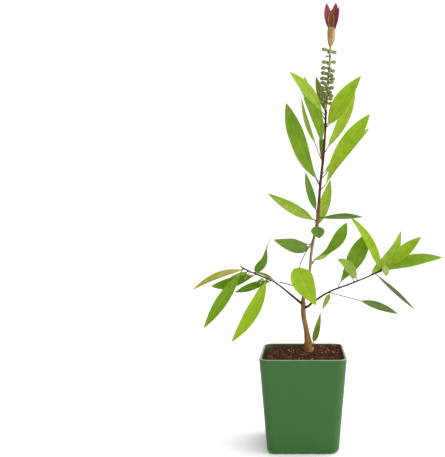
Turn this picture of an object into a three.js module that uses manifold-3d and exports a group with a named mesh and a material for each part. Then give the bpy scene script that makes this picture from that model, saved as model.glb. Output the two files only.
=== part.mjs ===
// A young bottlebrush plant in a square nursery pot, in millimetres, +Z up.
// The origin is the middle of the pot's underside. +X is the plant's right and -Y its front.
// One leading stem rises from the soil to a spike of round buds and a tuft of red young
// leaves. Two boughs leave it low down, and long narrow leaves grow singly on all three.
import * as THREE from 'three';
import { mergeVertices } from 'three/addons/utils/BufferGeometryUtils.js';
import Module from 'manifold-3d';

const wasm = await Module();
wasm.setup();

const GAP = 0.3; // the clear space between two pieces that meet

const POT = {
  height: 100,
  topWidth: 91.6,
  bottomWidth: 75,
  corner: 0.22, // corner radius as a share of the half width
  wall: 2.4,
  floor: 2.5,
  footRound: 5, // radius of the rounded edge round the underside
  rimRound: 0.6,
  innerFillet: 3, // the bevel where the wall meets the floor inside
  drainRadius: 3.5,
  drainOffset: 21,
  sides: 32,
  flatPart: 0.25, // of a quarter's sides, half lie on its flat face and half on its corners
};

const SOIL = {
  edgeHeight: 96.2,
  moundHeight: 97.3,
  moundFlat: 8, // radius round the stem where the mound is level
  moundFoot: 27, // radius where the mound has run out
  lump: 0.9,
  slope: 0.045, // how much it rises toward the back
  dip: 3, // a hollow in the left back corner
  dipAt: [-31, 34],
  dipReach: 13,
  rings: [1, 0.86, 0.7, 0.54, 0.4, 0.27, 0.15], // of vertices over the surface
};

// The stem's middle line from the soil up: right, back, up and the radius there.
const TRUNK = [
  [6.0, 12, 97.3, 5.3],
  [5.7, 11.8, 103, 4.5],
  [5.0, 11.4, 111, 3.7],
  [3.9, 11, 120, 2.95],
  [0.7, 10.2, 137, 2.75],
  [0.2, 9.4, 151, 2.75],
  [0.5, 9, 160, 1.75],
  [3.8, 8.5, 173, 1.5],
  [7.2, 8, 186, 1.45],
  [8.9, 7, 205, 1.6],
  [11.4, 6, 222, 1.5],
  [15.3, 5.2, 238, 1.7],
  [16.7, 4.9, 251, 2.1],
  [17.2, 4.8, 259, 1.6],
  [19.4, 4, 287, 1.4],
  [22.5, 3, 315, 1.4],
  [24.2, 2.2, 337, 1.2],
  [25.3, 1.4, 366, 1.0],
];
const TRUNK_SIDES = 10;
const TRUNK_STEPS = 42;

// The two boughs, each from beside the stem to where its leafy end begins, and those ends.
const LEFT_BOUGH = [
  [-3.6, 7.2, 153.1, 1.5],
  [-16.3, 2, 164.2, 1.05],
  [-24.5, -2.6, 171.5, 0.9],
];
const LEFT_END = [
  [-24.9, -2.8, 171.8, 0.85],
  [-32.7, -7, 177.6, 0.85],
  [-44.8, -13, 183.4, 0.8],
  [-60.7, -20, 190.9, 0.75],
  [-66.4, -23, 194.8, 0.6],
];
const RIGHT_BOUGH = [
  [4.8, 8.2, 147.9, 1.5],
  [9.5, 8.6, 151.6, 1.25],
  [28.3, 13, 163.3, 1.0],
  [53.2, 17, 172.5, 0.9],
  [71.5, 20.7, 179.2, 0.8],
];
const RIGHT_END = [
  [71.9, 20.8, 179.4, 0.8],
  [77.2, 22, 181.6, 0.8],
  [90.1, 24, 187.9, 0.7],
  [95, 25, 191.5, 0.6],
];
const BARE_TWIG = [
  [-1.9, 6.6, 165.5, 0.7],
  [-9.6, 4, 171, 0.6],
  [-26.6, 3.5, 175.8, 0.5],
];

// Ways that a leaf's upper face can look.
const FRONT = [0, -1, 0.25];
const LEFTISH = [-0.6, -1, 0];
const UP = [0, 0, 1];
const BACK = [0, 1, 0.4];

// Leaves. at: the node's height on the trunk, or its share of the way along a bough.
// reach: how far the tip lies right, back and up of the node. stalk: the same for the end
// of a long stalk. wide: the blade's width. peak: where along the blade it is widest.
// sway and arch: how far its middle stands off to its right hand side and to its face side.
// hip: how much further its lower third stands off than its upper third.
// face: where its upper face looks. twist: how far the face has turned at the tip.
const TRUNK_LEAVES = [
  { at: 103, stalk: [6, -3.5, 6], reach: [13.6, -12, 40], wide: 7.8, peak: 0.31, sway: 0.8, face: LEFTISH },
  { at: 181, reach: [-2.5, 30, -17], wide: 11, arch: 3, face: UP },
  { at: 196, stalk: [6, -4, 6], reach: [38, -33, 45], wide: 13, peak: 0.68, sway: 5, arch: 2, face: FRONT },
  { at: 197, reach: [35, 35, 29], wide: 8, sway: -5, arch: 3, face: BACK },
  { at: 214, reach: [-41, -32, 9], wide: 17, peak: 0.38, sway: -2.7, arch: 0.6, face: [0, -0.9, 0.4] },
  { at: 217, reach: [-31, 38, -4], wide: 12, arch: 2, face: UP },
  {
    at: 221, stalk: [-15, -19.5, -28], reach: [2.5, -28, -68], wide: 24.2, peak: 0.31, sway: 1.3, hip: 1.3,
    face: FRONT,
  },
  { at: 238.8, reach: [1.5, -36, -14.2], wide: 14.7, peak: 0.62, sway: 0.8, arch: 2, face: [0, -0.5, 1] },
  { at: 236.5, reach: [16.3, 21, 54.5], wide: 12.5, peak: 0.42, sway: 1, face: FRONT },
  { at: 243.5, reach: [-53.5, -29, 28.5], wide: 12, peak: 0.45, sway: -1.5, arch: 3, face: FRONT },
  { at: 243, reach: [-37, 38, 21.5], wide: 10, sway: 1, arch: 3, face: BACK },
  { at: 247.3, reach: [47, -31, -0.3], wide: 11.4, peak: 0.45, arch: 0.8, face: [0, -0.65, 0.8] },
  { at: 253.5, reach: [-14.5, -21, 42], wide: 9.5, peak: 0.42, sway: -1, face: [0.5, -1, 0] },
  { at: 279, reach: [56, 12, 69], wide: 12.5, peak: 0.55, sway: -5.5, face: FRONT },
  { at: 284, reach: [-37.5, -14, 87], wide: 18, peak: 0.58, sway: -2.5, face: FRONT },
  { at: 286, reach: [-38, 42, 67], wide: 12, sway: 2.6, arch: 4, face: BACK },
  { at: 292, reach: [51.5, -22, 65.4], wide: 18, peak: 0.55, arch: 2, face: FRONT },
  { at: 296, reach: [43, 43, 49], wide: 12, sway: -3, arch: 4, face: BACK },
  { at: 309, reach: [-2.8, 18.5, 33], wide: 7, sway: 1.5, face: [-0.5, -1, 0.3] },
  {
    at: 311, stalk: [-9, -7, 17], reach: [-24, -23, 64], wide: 8.6, peak: 0.45, sway: -2.8,
    face: [-1, -0.7, 0],
  },
  { at: 320, reach: [36, 13, 76], wide: 12.2, peak: 0.5, sway: 2.9, face: FRONT },
  { at: 328, reach: [-23.5, -26, 46.5], wide: 11.8, sway: 3.5, arch: 3, face: FRONT },
  { at: 349, reach: [28, 42, 47], wide: 11, arch: 4, face: BACK },
  { at: 347, reach: [36.5, -28, 49.2], wide: 17.8, peak: 0.43, sway: -1, arch: 3, face: FRONT },
  { at: 350, reach: [-28, 36, 47], wide: 10, sway: -2, arch: 3, face: BACK },
  { at: 356, reach: [-23.5, 22, 52.8], wide: 7.5, sway: -3, face: FRONT },
  { at: 360.5, reach: [-39.5, -25, 40.9], wide: 12.4, sway: 1.5, arch: 2, face: FRONT },
  { at: 363, stalk: [-1, 10, 4], reach: [-10.5, 24, 45.8], wide: 8, face: FRONT },
];
const RIGHT_BOUGH_LEAVES = [
  { at: 0.39, reach: [-8, -11, -18.5], wide: 5.8, peak: 0.31, face: FRONT },
  { at: 0.41, stalk: [34.5, -5, -10], reach: [75, -10, -24], wide: 8.5, peak: 0.45, sway: -1, face: FRONT },
  { at: 0.555, reach: [33.5, 11.5, 62], wide: 19.5, peak: 0.58, sway: 1.5, face: FRONT },
  { at: 0.8, reach: [-1.5, 42, 34], wide: 11, arch: 3, face: BACK },
  { at: 0.86, reach: [-24.5, -28.5, 26], wide: 12, peak: 0.45, sway: 3, face: [0.2, -1, 0.3] },
];
const LEFT_SPRAY_LEAVES = [
  { at: 0.08, reach: [-25.5, -9.5, 14], wide: 7, peak: 0.45, arch: 2.5, face: [0.3, -0.5, 1] },
  { at: 0.24, reach: [-42.5, 20.5, -15], wide: 11.5, face: [0, -0.8, 0.7] },
  { at: 0.34, reach: [-37.7, -13, -66.4], wide: 14.6, peak: 0.48, sway: -3.4, arch: 3, face: FRONT },
  { at: 0.36, reach: [-25, 42, -56], wide: 10, arch: 3, face: BACK },
  { at: 0.6, reach: [-52.5, 21, -15], wide: 13, peak: 0.55, sway: -2, face: [0, -0.9, 0.5] },
  {
    at: 0.65, reach: [18.1, -12, 39.5], wide: 10.4, peak: 0.3, sway: 0.4, hip: 2.4,
    face: [0.2, -1, 0.2], twist: 1.8,
  },
  { at: 0.8, reach: [-34, 45, -25], wide: 12, arch: 1, face: BACK },
  { at: 0.9, reach: [-52.5, -17, -21], wide: 8.5, peak: 0.45, sway: 2.4, arch: 2.5, face: [0, -1, 0.9] },
  { at: 0.92, reach: [-39.5, -18, -61], wide: 12.8, peak: 0.52, face: FRONT },
];
const RIGHT_SPRAY_LEAVES = [
  { at: 0.22, reach: [37.6, 20, 50.9], wide: 13.5, peak: 0.36, sway: 5.6, face: FRONT },
  { at: 0.42, reach: [43, -14.5, -39.5], wide: 7, face: [0.5, -0.8, 0.8] },
  { at: 0.55, reach: [30, 40, 36], wide: 11, sway: -5, arch: 3, face: BACK },
  { at: 0.74, reach: [-38.5, -23, 61.8], wide: 10.2, peak: 0.4, sway: 4, face: FRONT },
  { at: 0.8, reach: [44, 42, 22], wide: 12, arch: 4, face: BACK },
  {
    at: 0.85, stalk: [0.2, -8, 5], reach: [-0.8, -26, -6.5], wide: 8, peak: 0.6, arch: 1.5,
    face: [0, -1, 0.6],
  },
  { at: 0.72, reach: [65.7, -17.9, 15.5], wide: 14, sway: -2.8, arch: 2, face: [0, -1, 0.4] },
  { at: 0.9, reach: [37.5, -22, 36], wide: 14, arch: 2, face: FRONT },
];

const LEAF = {
  stalkHalf: 0.5, // half the width of the stalk
  stalkShare: 0.06, // a short stalk's part of the reach
  sprayStalkShare: 0.04, // the same on the leafy ends
  roundness: 0.85, // the lower, the blunter the blade's ends
  clear: 0.75, // from a limb's skin, past the gap, to the middle of a stalk's end
  thickness: 0.016, // of the leaf's length
  thinning: 0.35, // the part of its thickness that a leaf loses toward the tip
  fold: 0.1, // how far each edge stands up, as a share of the half width
  bends: [0.33, 0.67], // where sway and arch bend the blade
  steps: 9,
};

// Young side shoots on the far side of a spray, each a short twig with small leaves.
const LEFT_SHOOT_LEAN = [-0.7, 1, -0.6];
const RIGHT_SHOOT_LEAN = [0.8, 1, 0.4];
const SHOOTS = {
  places: [0.45, 0.75],
  twig: 11,
  leaves: 3,
  leafLong: 15,
  leafWide: 4.5,
  radii: [0.5, 0.4, 0.3],
  stray: 0.5, // of a shoot's or leaf's length
};

// The bud spike goes on from the stem's top, and the red tuft from the spike's.
const SPIKE = {
  line: [
    [25.3, 1.3, 366.6, 1.0],
    [26, 1, 376, 0.9],
    [27.2, 0.8, 393.5, 0.85],
    [28.2, 0.4, 405, 0.8],
    [29.2, 0, 416, 0.75],
    [29.9, 0, 436, 0.7],
  ],
  // The buds stand in files up the spike. turn: the way a file faces, in degrees round from
  // the right. top: its highest bud. step: between its top two. stalk: from the spike's middle
  // line to a bud's middle.
  files: [
    { turn: 180, top: 431, step: 6.5, stalk: 6.2 },
    { turn: 5, top: 429.2, step: 10.8, stalk: 4.8 },
    { turn: 262, top: 428, step: 6.6, stalk: 4.6 },
    { turn: 80, top: 431, step: 6.6, stalk: 4.6 },
    { turn: 215, top: 405, step: 7, stalk: 5 },
    { turn: 320, top: 402, step: 7.6, stalk: 4.6 },
  ],
  lowest: 372.5,
  crowding: 0.72, // the bottom step of a file as a part of its top one
  stray: 0.45, // how far a bud may stand off its file, in radians
  strayUp: 0.6,
  smallFrom: 426, // buds between these heights stay small
  smallTo: 421,
  small: 0.6,
  sizes: [0.94, 1.06],
  lift: 0.05, // how far a bud points up, and how much that varies
  liftStray: 0.16,
  budLong: 5.6,
  budWide: 4.2,
  neck: 0.45, // how much a bud narrows toward the stem
  seed: 2120,
};
const TUFT = {
  line: [
    [30.1, 0, 436.4, 2],
    [30.6, 0, 440.5, 3.6],
    [31, 0, 446.5, 4.5],
    [31, 0, 453, 4.3],
    [30.7, 0, 458, 2.6],
  ],
  foot: 0.25,
  // Each young leaf: where its tip lies from the foot of the tuft, and how wide it is.
  leaves: [
    { reach: [-5, -3, 40.2], wide: 8.5, face: [0.35, -1, 0] },
    { reach: [5.3, -2.5, 40.7], wide: 9, face: [-0.35, -1, 0] },
    { reach: [9.4, 3.5, 39.4], wide: 6.5, face: [-1, -0.5, 0] },
    { reach: [-0.1, -6.5, 30], wide: 7.2, face: [0, -1, 0] },
    { reach: [1, 7, 36.5], wide: 8, face: [0, 1, 0] },
    { reach: [-4, 6, 35], wide: 7, face: [-1, 0.6, 0] },
  ],
  peak: 0.55,
  arch: -1,
  fold: 0.3,
  stalk: [0.4, 0.5], // a stalk's part of the reach, right and back
  stalkRise: 10,
};

const COLOURS = {
  pot: 0x44713c,
  soil: 0x4a2c20,
  bark: 0x93694a,
  twig: 0x4d3026,
  leaf: 0x84b327,
  bud: 0x7c8a4a,
  red: 0x9a4450,
};

// A repeatable run of numbers from 0 to 1.
function seeded(seed) {
  let state = seed;
  return () => {
    state = (state + 0x6d2b79f5) | 0;
    let mixed = Math.imul(state ^ (state >>> 15), 1 | state);
    mixed = (mixed + Math.imul(mixed ^ (mixed >>> 7), 61 | mixed)) ^ mixed;
    return ((mixed ^ (mixed >>> 14)) >>> 0) / 4294967296;
  };
}

const vector = (list) => new THREE.Vector3(...list.slice(0, 3));
const smoothstep = THREE.MathUtils.smoothstep;
const lerp = THREE.MathUtils.lerp;

// A geometry with its positions alone, and shared vertices merged.
function bare(geometry) {
  const copy = geometry.clone();
  for (const name of Object.keys(copy.attributes)) {
    if (name !== 'position') copy.deleteAttribute(name);
  }
  return mergeVertices(copy, 1e-4);
}

function solidOf(geometry) {
  const merged = bare(geometry);
  return new wasm.Manifold(
    new wasm.Mesh({
      numProp: 3,
      vertProperties: new Float32Array(merged.attributes.position.array),
      triVerts: new Uint32Array(merged.index.array),
    }),
  );
}

function geometryOf(solid) {
  const mesh = solid.getMesh();
  return new THREE.BufferGeometry()
    .setAttribute('position', new THREE.BufferAttribute(mesh.vertProperties, 3))
    .setIndex(new THREE.BufferAttribute(mesh.triVerts, 1));
}

function fused(geometries) {
  const whole = geometries.map(solidOf).reduce((sum, next) => sum.add(next));
  return geometryOf(whole);
}

// Moves every vertex of a geometry to what place(vertex) gives.
function remade(geometry, place) {
  const position = geometry.attributes.position;
  const vertex = new THREE.Vector3();
  for (let i = 0; i < position.count; i++) {
    vertex.fromBufferAttribute(position, i);
    const moved = place(vertex);
    position.setXYZ(i, moved.x, moved.y, moved.z);
  }
  return geometry;
}

// The middle line of a limb and its radius at a share of the way along it.
function limb(knots) {
  const curve = new THREE.CatmullRomCurve3(knots.map(vector), false, 'centripetal');
  curve.arcLengthDivisions = 400;
  const radii = knots.map((knot) => knot[3]);
  return {
    curve,
    point: (share) => curve.getPointAt(share),
    radius(share) {
      const place = curve.getUtoTmapping(share) * (radii.length - 1);
      const knot = Math.min(Math.floor(place), radii.length - 2);
      return lerp(radii[knot], radii[knot + 1], place - knot);
    },
  };
}

// The share of the way up a limb at which it reaches a height.
function shareAtHeight(line, height) {
  let low = 0;
  let high = 1;
  for (let i = 0; i < 30; i++) {
    const middle = (low + high) / 2;
    if (line.point(middle).z < height) low = middle;
    else high = middle;
  }
  return low;
}

// A tapering limb: a cylinder bent along the line. Level rings give a flat cut at the foot.
function limbGeometry(line, sides, steps, levelRings = false) {
  const reference = new THREE.Vector3(0, 1, 0);
  return remade(new THREE.CylinderGeometry(1, 1, 1, sides, steps), (vertex) => {
    const share = THREE.MathUtils.clamp(vertex.y + 0.5, 0, 1);
    const centre = line.point(share);
    const radius = line.radius(share);
    const along = levelRings ? new THREE.Vector3(0, 0, 1) : line.curve.getTangentAt(share);
    const side = new THREE.Vector3().crossVectors(reference, along).normalize();
    const front = new THREE.Vector3().crossVectors(along, side);
    return centre.addScaledVector(side, vertex.z * radius).addScaledVector(front, vertex.x * radius);
  });
}

// Half the blade's width at a share of the blade, as a part of its full half width.
function bladeOutline(share, peak) {
  const warped = Math.pow(share, Math.log(0.5) / Math.log(peak));
  return Math.pow(Math.sin(Math.PI * warped), LEAF.roundness);
}

// One leaf from its node, a four-sided cone bent along its midrib: the corners of its
// section are the midrib's top, the two edges and the midrib's underside.
function leafGeometry(leaf, node, start) {
  const tip = node.clone().add(vector(leaf.reach));
  const stalkEnd = leaf.stalk
    ? node.clone().add(vector(leaf.stalk))
    : start.clone().addScaledVector(vector(leaf.reach), leaf.stalkShare ?? LEAF.stalkShare);
  const face = vector(leaf.face ?? FRONT);
  const blade = tip.clone().sub(stalkEnd);
  const along = blade.clone().normalize();
  const faceward = face.clone().addScaledVector(along, -face.dot(along)).normalize();
  const sideways = new THREE.Vector3().crossVectors(along, faceward);
  const onBlade = (share, index) =>
    stalkEnd
      .clone()
      .addScaledVector(blade, share)
      .addScaledVector(sideways, (leaf.sway ?? 0) + (index === 0 ? (leaf.hip ?? 0) : 0))
      .addScaledVector(faceward, leaf.arch ?? 0);
  const points = [start, stalkEnd, ...LEAF.bends.map(onBlade), tip];
  const curve = new THREE.CatmullRomCurve3(points, false, 'centripetal');
  const length = curve.getLength();
  const stalkPart = start.distanceTo(stalkEnd) / length;
  const halfThick = (length * LEAF.thickness) / 2;
  const steps = LEAF.steps + (leaf.stalk ? 2 : 0);
  return remade(new THREE.ConeGeometry(1, 1, 4, steps), (vertex) => {
    const share = THREE.MathUtils.clamp(vertex.y + 0.5, 0, 1);
    const centre = curve.getPointAt(share);
    const ring = Math.hypot(vertex.x, vertex.z);
    if (ring < 1e-6) return centre;
    const onStalk = share <= stalkPart;
    const bladeShare = onStalk ? 0 : (share - stalkPart) / (1 - stalkPart);
    const tangent = curve.getTangentAt(share);
    const normal = face.clone().addScaledVector(tangent, -face.dot(tangent)).normalize();
    normal.applyAxisAngle(tangent, (leaf.twist ?? 0) * bladeShare);
    const side = new THREE.Vector3().crossVectors(tangent, normal);
    const outline = (leaf.wide / 2) * bladeOutline(bladeShare, leaf.peak ?? 0.5);
    const half = Math.max(outline, LEAF.stalkHalf * (1 - bladeShare));
    const thin = halfThick * (1 - LEAF.thinning * bladeShare);
    const thick = Math.max(thin, onStalk ? LEAF.stalkHalf : 0);
    const across = vertex.x / ring;
    const above = vertex.z / ring;
    const lift = Math.abs(across) * half * (onStalk ? 0 : (leaf.fold ?? LEAF.fold));
    return centre
      .addScaledVector(side, across * half)
      .addScaledVector(normal, above * thick + lift);
  });
}

// A leaf that starts just clear of the limb it grows on, on the side that it leaves by.
function leafBeside(leaf, line, share) {
  const node = line.point(share);
  const along = line.curve.getTangentAt(share);
  const away = vector(leaf.stalk ?? leaf.reach);
  away.addScaledVector(along, -away.dot(along)).normalize();
  const clear = line.radius(share) + GAP + LEAF.clear;
  return leafGeometry(leaf, node, node.clone().addScaledVector(away, clear));
}

// One short side shoot: a twig that leans one way, give or take, and small leaves along it.
function sideShoot(line, share, lean, random) {
  const strayed = (long) =>
    vector(lean)
      .normalize()
      .multiplyScalar(long)
      .add(
        new THREE.Vector3(random() - 0.5, random() - 0.5, random() - 0.5)
          .multiplyScalar(long * SHOOTS.stray),
      );
  const node = line.point(share);
  const tip = node.clone().add(strayed(SHOOTS.twig));
  const middle = node.clone().lerp(tip, 0.5);
  const twig = limb([node, middle, tip].map((point, index) => [...point, SHOOTS.radii[index]]));
  const leaves = Array.from({ length: SHOOTS.leaves }, (_, index) => {
    const foot = twig.point((index + 1) / (SHOOTS.leaves + 0.5));
    const leaf = { reach: strayed(SHOOTS.leafLong).toArray(), wide: SHOOTS.leafWide, face: UP };
    return leafGeometry({ ...leaf, stalkShare: LEAF.sprayStalkShare }, foot, foot.clone());
  });
  return [limbGeometry(twig, 5, 3), ...leaves];
}

// A leafy end of a bough: its own stem, with leaves rooted in the middle of it.
function leafySpray(knots, leaves, lean, seed) {
  const random = seeded(seed);
  const line = limb(knots);
  const blades = leaves.map((leaf) => {
    const node = line.point(leaf.at);
    return leafGeometry({ ...leaf, stalkShare: LEAF.sprayStalkShare }, node, node.clone());
  });
  const shoots = SHOOTS.places.flatMap((share) => sideShoot(line, share, lean, random));
  return fused([limbGeometry(line, 6, 9), ...blades, ...shoots]);
}

// One bud: a ball drawn out to a neck where it meets the spike.
function budGeometry(centre, outward, stalk, size) {
  const reference = new THREE.Vector3(0, 0, 1);
  const side = new THREE.Vector3().crossVectors(outward, reference).normalize();
  const up = new THREE.Vector3().crossVectors(side, outward);
  const middle = centre.clone().addScaledVector(outward, stalk * size);
  const long = (SPIKE.budLong / 2) * size;
  const wide = (SPIKE.budWide / 2) * size;
  return remade(new THREE.SphereGeometry(1, 6, 4), (vertex) => {
    const towardStem = Math.max(0, -vertex.y);
    const swell = wide * (1 - SPIKE.neck * towardStem * towardStem);
    const reach = vertex.y < 0 ? stalk * size : long;
    return middle
      .clone()
      .addScaledVector(outward, vertex.y * reach)
      .addScaledVector(side, vertex.x * swell)
      .addScaledVector(up, vertex.z * swell);
  });
}

// The spike's axis with its files of buds, from the top of each file down.
function budSpike() {
  const random = seeded(SPIKE.seed);
  const line = limb(SPIKE.line);
  const pieces = [limbGeometry(line, 6, 12)];
  for (const file of SPIKE.files) {
    let height = file.top;
    while (height > SPIKE.lowest) {
      const down = (SPIKE.files[0].top - height) / (SPIKE.files[0].top - SPIKE.lowest);
      const turn = THREE.MathUtils.degToRad(file.turn) + (random() - 0.5) * SPIKE.stray;
      const lift = SPIKE.lift + (random() - 0.5) * SPIKE.liftStray;
      const outward = new THREE.Vector3(Math.cos(turn), Math.sin(turn), lift).normalize();
      const isSmall = height < SPIKE.smallFrom && height > SPIKE.smallTo;
      const size = (isSmall ? SPIKE.small : 1) * lerp(...SPIKE.sizes, random());
      const foot = line.point(shareAtHeight(line, height + (random() - 0.5) * SPIKE.strayUp));
      pieces.push(budGeometry(foot, outward, file.stalk, size));
      height -= file.step * lerp(1, SPIKE.crowding, down);
    }
  }
  return fused(pieces);
}

// The tuft: a stout sheath with the young leaves standing out of it.
function redTuft() {
  const line = limb(TUFT.line);
  const foot = line.point(TUFT.foot);
  const young = TUFT.leaves.map((leaf) => {
    const [right, back] = TUFT.stalk.map((share, axis) => share * leaf.reach[axis]);
    const blade = { ...leaf, stalk: [right, back, TUFT.stalkRise] };
    const { peak, arch, fold } = TUFT;
    return leafGeometry({ ...blade, peak, arch, fold }, foot, foot.clone());
  });
  return fused([limbGeometry(line, 8, 6), ...young]);
}

// Turns a round lathed form square in plan, with round corners, and stands it up on Z.
function squaredOff(geometry) {
  return remade(geometry, (vertex) => {
    const half = Math.hypot(vertex.x, vertex.z);
    const up = vertex.y;
    if (half < 1e-6) return new THREE.Vector3(0, 0, up);
    const turn = (Math.atan2(-vertex.z, vertex.x) / (Math.PI / 2) + 4) % 4;
    const quarter = Math.round(turn) % 4;
    const offset = turn - Math.round(turn); // -0.5 to 0.5 across one straight side
    const radius = half * POT.corner;
    const straight = half - radius;
    const along = Math.sign(offset) * Math.min(Math.abs(offset) / POT.flatPart, 1) * straight;
    const beyond = Math.max(0, Math.abs(offset) - POT.flatPart) / (0.5 - POT.flatPart);
    const arc = beyond * (Math.PI / 4);
    const outward = straight + radius * Math.cos(arc);
    const across = along + Math.sign(offset) * radius * Math.sin(arc);
    const angle = (quarter * Math.PI) / 2;
    return new THREE.Vector3(
      outward * Math.cos(angle) - across * Math.sin(angle),
      outward * Math.sin(angle) + across * Math.cos(angle),
      up,
    );
  });
}

const outerHalf = (height) => lerp(POT.bottomWidth, POT.topWidth, height / POT.height) / 2;
const innerHalf = (height) => outerHalf(height) - POT.wall;

// The pot: a lathed cup squared off, with its drain holes cut.
function potGeometry() {
  const point = (half, height) => new THREE.Vector2(half, height);
  const footRound = Array.from({ length: 4 }, (_, index) => {
    const turn = (index / 3) * (Math.PI / 2);
    const inset = POT.footRound * (1 - Math.sin(turn));
    return point(outerHalf(POT.footRound) - inset, POT.footRound * (1 - Math.cos(turn)));
  });
  const profile = [
    point(0, 0),
    ...footRound,
    point(outerHalf(POT.height), POT.height - POT.rimRound),
    point(outerHalf(POT.height) - POT.rimRound, POT.height),
    point(innerHalf(POT.height) + POT.rimRound, POT.height),
    point(innerHalf(POT.height), POT.height - POT.rimRound),
    point(innerHalf(POT.floor + POT.innerFillet), POT.floor + POT.innerFillet),
    point(innerHalf(POT.floor) - POT.innerFillet, POT.floor),
    point(0, POT.floor),
  ];
  const cup = solidOf(squaredOff(new THREE.LatheGeometry(profile, POT.sides)));
  const holes = [-1, 1].flatMap((x) => [-1, 1].map((y) => drainHole(x, y)));
  return geometryOf(holes.reduce((left, hole) => left.subtract(hole), cup));
}

function drainHole(x, y) {
  const hole = new THREE.CylinderGeometry(POT.drainRadius, POT.drainRadius, POT.floor * 4, 16);
  hole.rotateX(Math.PI / 2).translate(x * POT.drainOffset, y * POT.drainOffset, 0);
  return solidOf(hole);
}

// The height of the soil: level round the stem, falling to the walls in shallow lumps.
function soilHeight(x, y) {
  const [stemX, stemY] = TRUNK[0];
  const away = smoothstep(Math.hypot(x - stemX, y - stemY), SOIL.moundFlat, SOIL.moundFoot);
  const lumps = Math.sin(x * 0.21 + 1) * Math.cos(y * 0.17) + 0.6 * Math.sin(x * 0.11 - y * 0.23);
  const [dipX, dipY] = SOIL.dipAt;
  const dip = SOIL.dip * Math.exp(-(((x - dipX) ** 2 + (y - dipY) ** 2) / (2 * SOIL.dipReach ** 2)));
  return lerp(SOIL.moundHeight, SOIL.edgeHeight + SOIL.lump * lumps + SOIL.slope * y - dip, away);
}

// The filling, clear of the pot all round, with the mound centred on the stem.
function soilGeometry() {
  const floor = POT.floor + GAP;
  const bevelTop = floor + POT.innerFillet;
  const edge = innerHalf(SOIL.edgeHeight) - GAP;
  const profile = [
    new THREE.Vector2(0, floor),
    new THREE.Vector2(innerHalf(POT.floor) - POT.innerFillet - GAP, floor),
    new THREE.Vector2(innerHalf(bevelTop) - GAP, bevelTop),
    ...SOIL.rings.map((share) => new THREE.Vector2(edge * share, SOIL.edgeHeight)),
    new THREE.Vector2(0, SOIL.edgeHeight),
  ];
  const [stemX, stemY] = TRUNK[0];
  return remade(squaredOff(new THREE.LatheGeometry(profile, POT.sides)), (vertex) => {
    if (vertex.z < SOIL.edgeHeight - GAP) return vertex;
    const inward = 1 - smoothstep(Math.max(Math.abs(vertex.x), Math.abs(vertex.y)), 0, edge * 0.9);
    const x = vertex.x + stemX * inward;
    const y = vertex.y + stemY * inward;
    return new THREE.Vector3(x, y, soilHeight(x, y));
  });
}

// One material for each finish.
const materials = Object.fromEntries(
  Object.entries(COLOURS).map(([name, color]) => [
    name,
    new THREE.MeshStandardMaterial({ color, roughness: name === 'pot' ? 0.35 : 0.6, metalness: 0 }),
  ]),
);

const plant = new THREE.Group();

function add(name, geometry, material) {
  const mesh = new THREE.Mesh(geometry, materials[material]);
  mesh.name = name;
  plant.add(mesh);
}

const numbered = (name, index) => name + '_' + String(index + 1).padStart(2, '0');
const trunk = limb(TRUNK);
const rightBough = limb(RIGHT_BOUGH);

add('pot', potGeometry(), 'pot');
add('soil', soilGeometry(), 'soil');
add('trunk', limbGeometry(trunk, TRUNK_SIDES, TRUNK_STEPS, true), 'bark');
add('left_bough', limbGeometry(limb(LEFT_BOUGH), 8, 8), 'twig');
add('right_bough', limbGeometry(rightBough, 8, 14), 'twig');
add('bare_twig', limbGeometry(limb(BARE_TWIG), 5, 5), 'twig');
TRUNK_LEAVES.forEach((leaf, index) => {
  add(numbered('trunk_leaf', index), leafBeside(leaf, trunk, shareAtHeight(trunk, leaf.at)), 'leaf');
});
RIGHT_BOUGH_LEAVES.forEach((leaf, index) => {
  add(numbered('right_bough_leaf', index), leafBeside(leaf, rightBough, leaf.at), 'leaf');
});
add('left_spray', leafySpray(LEFT_END, LEFT_SPRAY_LEAVES, LEFT_SHOOT_LEAN, 5), 'leaf');
add('right_spray', leafySpray(RIGHT_END, RIGHT_SPRAY_LEAVES, RIGHT_SHOOT_LEAN, 9), 'leaf');
add('bud_spike', budSpike(), 'bud');
add('red_tuft', redTuft(), 'red');

export default plant;
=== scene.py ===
import bisect
import math
import bmesh
import bpy
from mathutils import Matrix, Quaternion, Vector, noise


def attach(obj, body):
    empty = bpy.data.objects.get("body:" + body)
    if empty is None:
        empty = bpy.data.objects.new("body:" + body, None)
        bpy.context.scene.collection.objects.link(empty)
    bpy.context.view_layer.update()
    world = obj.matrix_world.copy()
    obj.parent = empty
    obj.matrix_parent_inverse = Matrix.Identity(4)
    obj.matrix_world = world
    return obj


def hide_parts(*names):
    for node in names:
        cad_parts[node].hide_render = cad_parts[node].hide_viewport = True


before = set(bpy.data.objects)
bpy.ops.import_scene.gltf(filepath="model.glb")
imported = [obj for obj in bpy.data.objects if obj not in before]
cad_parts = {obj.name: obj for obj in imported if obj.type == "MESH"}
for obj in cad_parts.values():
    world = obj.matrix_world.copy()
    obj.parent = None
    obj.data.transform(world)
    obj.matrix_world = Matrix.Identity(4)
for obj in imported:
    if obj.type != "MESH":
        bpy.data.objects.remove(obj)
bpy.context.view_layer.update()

# Lengths are in millimetres until a mesh is made, +Z is up and -Y is the plant's front.
mm = 0.001
front = (0, -1, 0.25)  # ways that a leaf's upper face can look
leftish = (-0.6, -1, 0)
upward = (0, 0, 1)
back = (0, 1, 0.4)


def mixed(low, high, share):
    return low + (high - low) * share


def eased(value, low, high):
    share = min(max((value - low) / (high - low), 0), 1)
    return share * share * (3 - 2 * share)


def seeded(seed):
    # a repeatable run of numbers from 0 to 1
    state = seed
    most = 0xFFFFFFFF

    def draw():
        nonlocal state
        state = (state + 0x6D2B79F5) & most
        stirred = (state ^ (state >> 15)) * (1 | state) & most
        stirred ^= (stirred + ((stirred ^ (stirred >> 7)) * (61 | stirred) & most)) & most
        return (stirred ^ (stirred >> 14)) / (most + 1)

    return draw


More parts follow.
